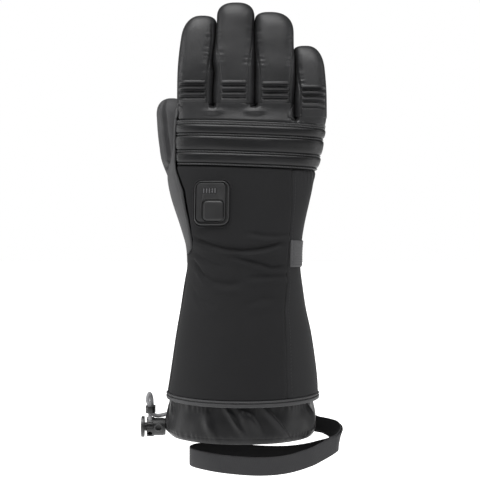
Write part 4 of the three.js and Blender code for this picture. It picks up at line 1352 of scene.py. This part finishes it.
def pad_frame():
    reach = PAD_WIDTH * 0.35
    here = back_place(PAD_ACROSS, PAD_UP)
    right = (back_place(PAD_ACROSS + reach, PAD_UP) - back_place(PAD_ACROSS - reach, PAD_UP)).normalized()
    up = (back_place(PAD_ACROSS, PAD_UP + reach) - back_place(PAD_ACROSS, PAD_UP - reach)).normalized()
    out = right.cross(up).normalized()
    up = out.cross(right).normalized()
    return Matrix.Translation(here * MM) @ Matrix((right, up, out)).transposed().to_4x4()


def lay_on_back(piece):
    leave_edit()
    piece.data.transform(pad_frame())
    piece.data.update()
    return piece


# A raised rim round a plateau that is set towards the upper left, so its groove is widest at the lower right
def make_pad():
    foot = -2.8
    high = PAD_RISE - 0.5
    size = (PAD_WIDTH, PAD_HEIGHT, high - foot)
    piece = rounded_block("control_cover", soft_rubber, size, (0, 0, (high + foot) / 2), PAD_CORNER)
    pick(piece, faces=faces_up)
    step(0.5, 0.5)
    step(0.4, 0.0)
    step(0.35, -1.8)
    step(0.7, 0.0)
    bpy.ops.transform.translate(value=(-0.6 * MM, 0.6 * MM, 0))
    step(0.3, 1.5)
    step(0.6, 0.1)
    leave_edit()
    size = (BUTTON_SIZE + BUTTON_GROOVE, BUTTON_SIZE + BUTTON_GROOVE, 3)
    cut_out(piece, rounded_block("pocket", soft_rubber, size, (BUTTON_ACROSS, -BUTTON_DOWN, 2.4), 4.0))
    for number in range(BARS):
        middle = (bar_across(number), BARS_UP, PAD_RISE + 0.3)
        cut_out(piece, rounded_block("pocket", soft_rubber, BAR_POCKET, middle, 0.5, 3))
    return done(lay_on_back(piece), bevel=0.22, smooth=40)


def make_button():
    low = PAD_RISE - 1.5
    size = (BUTTON_SIZE, BUTTON_SIZE, 1.3)
    middle = (BUTTON_ACROSS + 0.5, -BUTTON_DOWN - 0.5, low + 0.65)
    piece = rounded_block("power_key", button_rubber, size, middle, 3.2)
    pick(piece, faces=faces_up)
    step(0.5, 0.35)
    step(1.6, 0.1)
    return done(lay_on_back(piece), bevel=0.2, smooth=40)


def make_bar(number):
    low = PAD_RISE - 0.7
    middle = (bar_across(number), BARS_UP, low + 0.5)
    piece = rounded_block(f"light_bar_{number + 1}", light_window, BAR_SIZE, middle, 0.4, 3)
    pick(piece, faces=faces_up)
    step(0.2, 0.15)
    return done(lay_on_back(piece), bevel=0.08, smooth=50)


# The softshell's folded edge round the control, a soft ridge that follows the glove's surface
WELT_WIDTH = 1.7
WELT_RISE = 1.0


def make_welt():
    laid = pad_frame()
    beside = SEAM + WELT_WIDTH / 2
    corner = PAD_CORNER + beside
    flat_x = PAD_WIDTH / 2 + beside - corner
    flat_y = PAD_HEIGHT / 2 + beside - corner

    def place(radius, rise, angle):
        across = math.copysign(flat_x, math.cos(angle)) + radius * math.cos(angle)
        along = math.copysign(flat_y, math.sin(angle)) + radius * math.sin(angle)
        spot = laid @ Vector((across * MM, along * MM, 0)) / MM
        return back_place(spot.x, spot.z, rise)

    turn = np.linspace(0, 2 * math.pi, 161)
    rows = []
    for over in np.linspace(0, math.pi, 9):
        radius = corner - math.cos(over) * WELT_WIDTH / 2
        rise = math.sin(over) ** 0.7 * WELT_RISE - 0.5
        rows.append([place(radius, rise, angle) for angle in turn])
    return grid_piece("control_welt", np.array(rows), softshell, closed=True)


# Cord lock: a ribbed barrel on a neck, bored for its plunger and the cord, and its push disc on a stem
BARREL_DIAMETER = 16
NECK_DIAMETER = 15
DISC_DIAMETER = 17
DISC_THICKNESS = 2.3
STEM_DIAMETER = 7
STEM_LENGTH = 8.2
PLUNGER_TRAVEL = 2
NECK_LEFT = LOCK_RIGHT - NECK_LENGTH
BARREL_LEFT = NECK_LEFT - BARREL_LENGTH
PLUNGER_ROOM = 0.3
STEM_END = BARREL_LEFT + STEM_LENGTH - PLUNGER_TRAVEL - PLUNGER_ROOM
NECK_REACH = 1.5
BARREL_SIDES = 60
# The round window in the neck, and its eyelet
WINDOW_X = NECK_LEFT + 4.6
WINDOW_Z = LOCK_HEIGHT + 0.4
WINDOW_Y = -7.0
EYELET_Y = -7.7


def level_round(name, material, radius, from_x, to_x, sides):
    return begin(
        name,
        material,
        bpy.ops.mesh.primitive_cylinder_add,
        vertices=sides,
        radius=radius * MM,
        depth=(to_x - from_x) * MM,
        location=((from_x + to_x) / 2 * MM, 0, LOCK_HEIGHT * MM),
        rotation=(0, math.radians(90), 0),
    )


# Insets the picked end of a round and pulls it out along X
def grow_cap(width, along):
    bpy.ops.mesh.inset(thickness=width * MM, depth=0)
    bpy.ops.mesh.extrude_region_move(TRANSFORM_OT_translate={"value": (along * MM, 0, 0)})


# The slanting hole for the cord, which the plunger has longer by its travel
def cord_bore(stretch=1.0, across=0.0):
    slant = math.atan2(0.6, 0.8)
    return begin(
        "bore",
        lock_nylon,
        bpy.ops.mesh.primitive_cylinder_add,
        vertices=32,
        radius=(CORD_DIAMETER / 2 + 0.45) * MM,
        depth=40 * MM,
        location=((CORD_ACROSS + across) * MM, 0, LOCK_HEIGHT * MM),
        rotation=(math.radians(90) + slant, 0, 0),
        scale=(stretch, 1, 1),
    )


# Every third of the barrel's long side faces that no hole has cut
def every_third_rib(face):
    whole = 0.9 * math.pi * BARREL_DIAMETER / BARREL_SIDES * BARREL_LENGTH * MM**2
    centre = face.calc_center_median()
    turn = math.atan2(centre.z - LOCK_HEIGHT * MM, centre.y) / (2 * math.pi) * BARREL_SIDES
    on_barrel = centre.x < NECK_LEFT * MM and len(face.verts) == 4 and abs(face.normal.x) < 0.1
    return on_barrel and face.calc_area() > whole and round(turn - 0.5) % 3 == 0


# The neck steps in from the barrel, narrows a little and reaches into the skirt's hem. The ribs come last,
# because a cut fails on a mesh that has them.
def make_lock_body():
    name = "cord_lock_body"
    piece = level_round(name, lock_nylon, BARREL_DIAMETER / 2, BARREL_LEFT, NECK_LEFT, BARREL_SIDES)
    pick(piece, faces=lambda face: face.normal.x > 0.9)
    grow_cap((BARREL_DIAMETER - NECK_DIAMETER) / 2, 0.6)
    grow_cap(0.3, NECK_LENGTH - 2.2 + NECK_REACH)
    grow_cap(0.35, 1.6)
    leave_edit()
    bore = STEM_DIAMETER / 2 + 0.4
    cut_out(piece, level_round("bore", lock_nylon, bore, BARREL_LEFT - 1, STEM_END + 2.4, 40))
    cut_out(piece, cord_bore())
    window = rounded_block("window", lock_nylon, (4.6, 4.6, 3.4), (0, 0, 0), 2.25, 8)
    leave_edit()
    turned = Matrix.Translation(Vector((WINDOW_X, WINDOW_Y, WINDOW_Z)) * MM)
    window.data.transform(turned @ Matrix.Rotation(math.radians(90), 4, "X"))
    cut_out(piece, window)
    pick(piece, faces=every_third_rib)
    bpy.ops.mesh.inset(thickness=0.14 * MM, depth=-0.5 * MM, use_individual=True)
    return done(piece, bevel=0.12, smooth=40)


# The pale eyelet in the neck's side
def make_eyelet():
    centre = [v * MM for v in (WINDOW_X, EYELET_Y, WINDOW_Z)]
    piece = begin(
        "cord_lock_eyelet",
        disc_nylon,
        bpy.ops.mesh.primitive_torus_add,
        major_segments=48,
        minor_segments=14,
        major_radius=2.7 * MM,
        minor_radius=0.5 * MM,
        location=centre,
        rotation=(math.radians(90), 0, 0),
    )
    bpy.ops.object.mode_set(mode="EDIT")
    bpy.ops.mesh.select_all(action="SELECT")
    bpy.ops.transform.resize(value=(1.12, 0.8, 1.0), center_override=centre)
    return done(piece, smooth=60)


def make_plunger():
    disc_right = BARREL_LEFT - PLUNGER_TRAVEL - PLUNGER_ROOM
    disc_left = disc_right - DISC_THICKNESS
    piece = level_round("cord_lock_button", disc_nylon, DISC_DIAMETER / 2, disc_left, disc_right, 72)
    pick(piece, faces=lambda face: face.normal.x < -0.9)
    bpy.ops.mesh.inset(thickness=0.9 * MM, depth=0)
    bpy.ops.mesh.inset(thickness=0.7 * MM, depth=-0.5 * MM)
    bpy.ops.mesh.inset(thickness=2.6 * MM, depth=0.25 * MM)
    pick(piece, faces=lambda face: face.normal.x > 0.9)
    bpy.ops.mesh.inset(thickness=(DISC_DIAMETER - STEM_DIAMETER) / 2 * MM, depth=0)
    bpy.ops.mesh.extrude_region_move(TRANSFORM_OT_translate={"value": ((STEM_END - disc_right) * MM, 0, 0)})
    leave_edit()
    cut_out(piece, cord_bore(stretch=1.5, across=-PLUNGER_TRAVEL / 2))
    return done(piece, bevel=0.3, smooth=40)


# The sleeve that holds the loop's two legs together
def make_clip():
    low, high = [Vector(corner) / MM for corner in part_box("cord_clip")]
    size = high - low
    piece = rounded_block("cord_sleeve", lock_nylon, size, (low + high) / 2, size.x / 2 - 0.1, 10)
    pick(piece, faces=lambda face: abs(face.normal.z) > 0.9)
    bpy.ops.mesh.inset(thickness=1.0 * MM, depth=0)
    bpy.ops.mesh.delete(type="FACE")
    work = bmesh.from_edit_mesh(piece.data)
    bpy.ops.mesh.select_mode(type="EDGE")
    for edge in work.edges:
        edge.select_set(edge.is_boundary)
    bmesh.update_edit_mesh(piece.data)
    bpy.ops.mesh.bridge_edge_loops()
    return done(piece, bevel=0.35, smooth=40)


# One bead of thread: four rings of six points from end to end, as shares of its length and half thickness
BEAD_RINGS = [(-0.5, 0.25), (-0.32, 0.85), (0.32, 0.85), (0.5, 0.25)]
BEAD_SIDES = 6


def bead_points(length, thickness):
    turns = np.linspace(0, 2 * math.pi, BEAD_SIDES + 1)[:-1]
    around = [(math.cos(turn), math.sin(turn)) for turn in turns]
    bead = [(along, one * wide, two * wide) for along, wide in BEAD_RINGS for one, two in around]
    return np.array(bead) * (length, thickness / 2, thickness / 2)


def bead_faces():
    faces = []
    for first in range(0, BEAD_SIDES * (len(BEAD_RINGS) - 1), BEAD_SIDES):
        for side in range(BEAD_SIDES):
            following = (side + 1) % BEAD_SIDES
            low = [first + side, first + following]
            faces.append(low + [low[1] + BEAD_SIDES, low[0] + BEAD_SIDES])
    ends = list(range(BEAD_SIDES))
    return faces + [ends[::-1], [first + BEAD_SIDES + side for side in ends]]


def along_line(run, values, stops):
    return np.stack([np.interp(stops, run, column) for column in values.T], axis=1)


# Stitches: one bead, copied along lines of places and normals on a surface
def stitches(name, material, lines, length, pitch, thickness):
    bead = bead_points(length, thickness)
    bead_sides = bead_faces()
    points = []
    faces = []
    for places, normals in lines:
        run = run_along(places)
        stops = np.arange(pitch / 2, run[-1], pitch)
        normal = unit(along_line(run, normals, stops))
        along = unit(along_line(run, places, stops + 0.3) - along_line(run, places, stops - 0.3) + 1e-9)
        aside = unit(np.cross(normal, along))
        for centre, forward, sideways, up in zip(along_line(run, places, stops), along, aside, normal):
            first = len(points)
            points += [centre + forward * one + sideways * two + up * three for one, two, three in bead]
            faces += [[first + index for index in face] for face in bead_sides]
    mesh = bpy.data.meshes.new(name)
    mesh.from_pydata((np.array(points) * MM).tolist(), [], faces)
    mesh.shade_smooth()
    return add_object(name, mesh, material)


# Places and outward normals along a line of shares on a surface that is given as a function of two shares
def surface_line(surface, one, two):
    near = 0.002
    here = surface(one, two)
    across = surface(one, two + near) - surface(one, two - near)
    up = surface(one + near, two) - surface(one - near, two)
    return here, unit(np.cross(across, up))


def panel_surface(heights, seams, relief, slopes):
    def surface(up, share):
        return panel_points(mix(heights[0], heights[1], up), share, up, seams, relief, slopes)

    return surface


# A line across a panel at one height
def level_line(heights, seams, relief, slopes, level, shares):
    up = np.full_like(shares, (level - heights[0]) / (heights[1] - heights[0]))
    return surface_line(panel_surface(heights, seams, relief, slopes), up, shares)


def make_knuckle_stitches():
    shares = np.linspace(0.015, 0.985, 260)
    levels = [KNUCKLE_TOP - 0.9, KNUCKLE_TOP - 2.9]
    for above in range(len(CHANNELS), 0, -1):
        levels.append(KNUCKLE_BOTTOM + sum(CHANNELS[above:]) + BAND_FOOT / 2)
    panel = (KNUCKLE_HEIGHTS, KNUCKLE_SEAMS, knuckle_relief, KNUCKLE_SLOPES)
    lines = [level_line(*panel, level, shares) for level in levels]
    return stitches("knuckle_stitches", thread, lines, 1.7, 2.3, 0.45)


def make_seam_stitches():
    ups = np.linspace(0.01, 0.985, 400)
    surface = panel_surface(BACK_HEIGHTS, GUSSET_SEAMS, gusset_relief, BACK_SLOPES)
    line = surface_line(surface, ups, np.full_like(ups, 0.07))
    return stitches("side_seam_stitches", dark_thread, [line], 1.9, 2.8, 0.3)


def make_rim_stitches():
    ups = np.linspace(0.02, 0.93, 300)

    def surface(up, share):
        return upper_points(up, share, BAND_MIDDLE + SEAM / 2, PALM_SEAMS, palm_relief)

    line = surface_line(surface, ups, np.full_like(ups, 1 - 3.6 / PALM_REACH))
    return stitches("palm_rim_stitches", dark_thread, [line], 1.6, 2.4, 0.3)


def make_band_stitches():
    ups = np.linspace(0.04, 0.96, 60)
    surface = panel_surface(BAND_HEIGHTS, BAND_SEAMS, band_relief, (0, 0))
    line = surface_line(surface, ups, np.full_like(ups, 0.02))
    return stitches("band_stitches", dark_thread, [line], 1.5, 2.1, 0.35)


# Making
cord_points = cord_line()
drawcord = ride(make_cord(cord_points), "drawcord", slot="elastic_cord")
clip = ride(make_clip(), "cord_clip", slot="lock_plastic")

ride(make_back(), "back_panel", slot="softshell")
ride(make_gusset(), "side_gusset", slot="gusset_shell")
knuckles = ride(make_knuckles(), "knuckle_panel", slot="channel_leather")
ride(make_yoke(), "hand_yoke", slot="upper_leather")
for number, finger in enumerate(FINGERS):
    ride(make_finger(number), "finger_" + finger["name"], slot="upper_leather")
ride(make_thumb(), "thumb", slot="palm_leather")
ride(make_palm(), "palm_panel", slot="palm_leather")
ride(make_underside(), "gauntlet_underside", slot="softshell")
ride(make_band(), "wrist_band", slot="elastic_webbing")
ride(make_trim(), "cuff_trim", slot="grey_binding")
skirt = ride(make_skirt(), "snow_skirt", slot="nylon")
ride(make_leash(), "leash_strap", slot="webbing")
ride(make_pad(), "control_pad", slot="moulded_rubber")
ride(make_welt(), "pad_welt", slot="softshell")
ride(make_button(), "power_button", slot="moulded_rubber")
for number in range(BARS):
    ride(make_bar(number), f"indicator_bar_{number + 1}", slot="printed_mark")
ride(make_lock_body(), "cord_lock_barrel", slot="lock_plastic")
ride(make_eyelet(), slot="lock_plastic")
ride(make_plunger(), "cord_lock_plunger", body="lock_plunger", slot="lock_plastic")
ride(make_knuckle_stitches(), slot="channel_leather")
ride(make_seam_stitches(), slot="gusset_shell")
ride(make_rim_stitches(), slot="palm_leather")
ride(make_band_stitches(), slot="elastic_webbing")


# Stage: a pale floor, a white surround and soft studio light from above and from both sides
FLOOR_HEIGHT = -0.45
SURROUND_SHARE = 0.12


def make_floor():
    bpy.ops.mesh.primitive_plane_add(size=30, location=(0, 8, FLOOR_HEIGHT))
    floor = bpy.context.active_object
    floor.name = "floor"
    # Matt white acrylic, lit from within so that it shows no shadow
    lit = {"Emission Color": (1, 1, 1, 1), "Emission Strength": 0.85}
    paint, _ = finish("pale_lit_acrylic", "#f6f6f6", {"Roughness": 0.9, "Specular IOR Level": 0.1} | lit)
    floor.data.materials.append(paint)


def light_holder(name, lamp, place, aim):
    holder = bpy.data.objects.new(name, lamp)
    bpy.context.scene.collection.objects.link(holder)
    holder.location = place
    holder.rotation_euler = (Vector(aim) - Vector(place)).to_track_quat("-Z", "Y").to_euler()


def soft_sun(name, place, strength, spread):
    lamp = bpy.data.lights.new(name, "SUN")
    lamp.energy = strength
    lamp.angle = math.radians(spread)
    light_holder(name, lamp, place, (0, 0, 0))


def soft_box(name, place, size, power, aim=(0, 0, 0.02)):
    lamp = bpy.data.lights.new(name, "AREA")
    lamp.shape = "RECTANGLE"
    lamp.size, lamp.size_y = size
    lamp.energy = power
    light_holder(name, lamp, place, aim)


# The camera sees the surround as plain white, and the glove gets a dimmer share of it
def make_surround(share):
    world = bpy.data.worlds.new("white_surround")
    bpy.context.scene.world = world
    world.use_nodes = True
    nodes = world.node_tree.nodes
    background = nodes["Background"]
    background.inputs[0].default_value = (1, 1, 1, 1)
    path = nodes.new("ShaderNodeLightPath")
    strength = nodes.new("ShaderNodeMapRange")
    strength.inputs["To Min"].default_value = share
    strength.inputs["To Max"].default_value = 1.0
    world.node_tree.links.new(path.outputs["Is Camera Ray"], strength.inputs["Value"])
    world.node_tree.links.new(strength.outputs[0], background.inputs[1])


make_floor()
make_surround(SURROUND_SHARE)
soft_sun("top_sun", (-0.3, -0.3, 2.0), 2.2, 30)
soft_box("top_box", (0.0, -0.4, 0.75), (0.9, 0.2), 6)
soft_box("left_box", (-1.1, -0.1, 0.2), (0.3, 1.2), 7)
soft_box("right_box", (1.1, -0.1, 0.2), (0.3, 1.2), 3.5)
bpy.context.scene.view_settings.view_transform = "Standard"

bpy.context.view_layer.update()
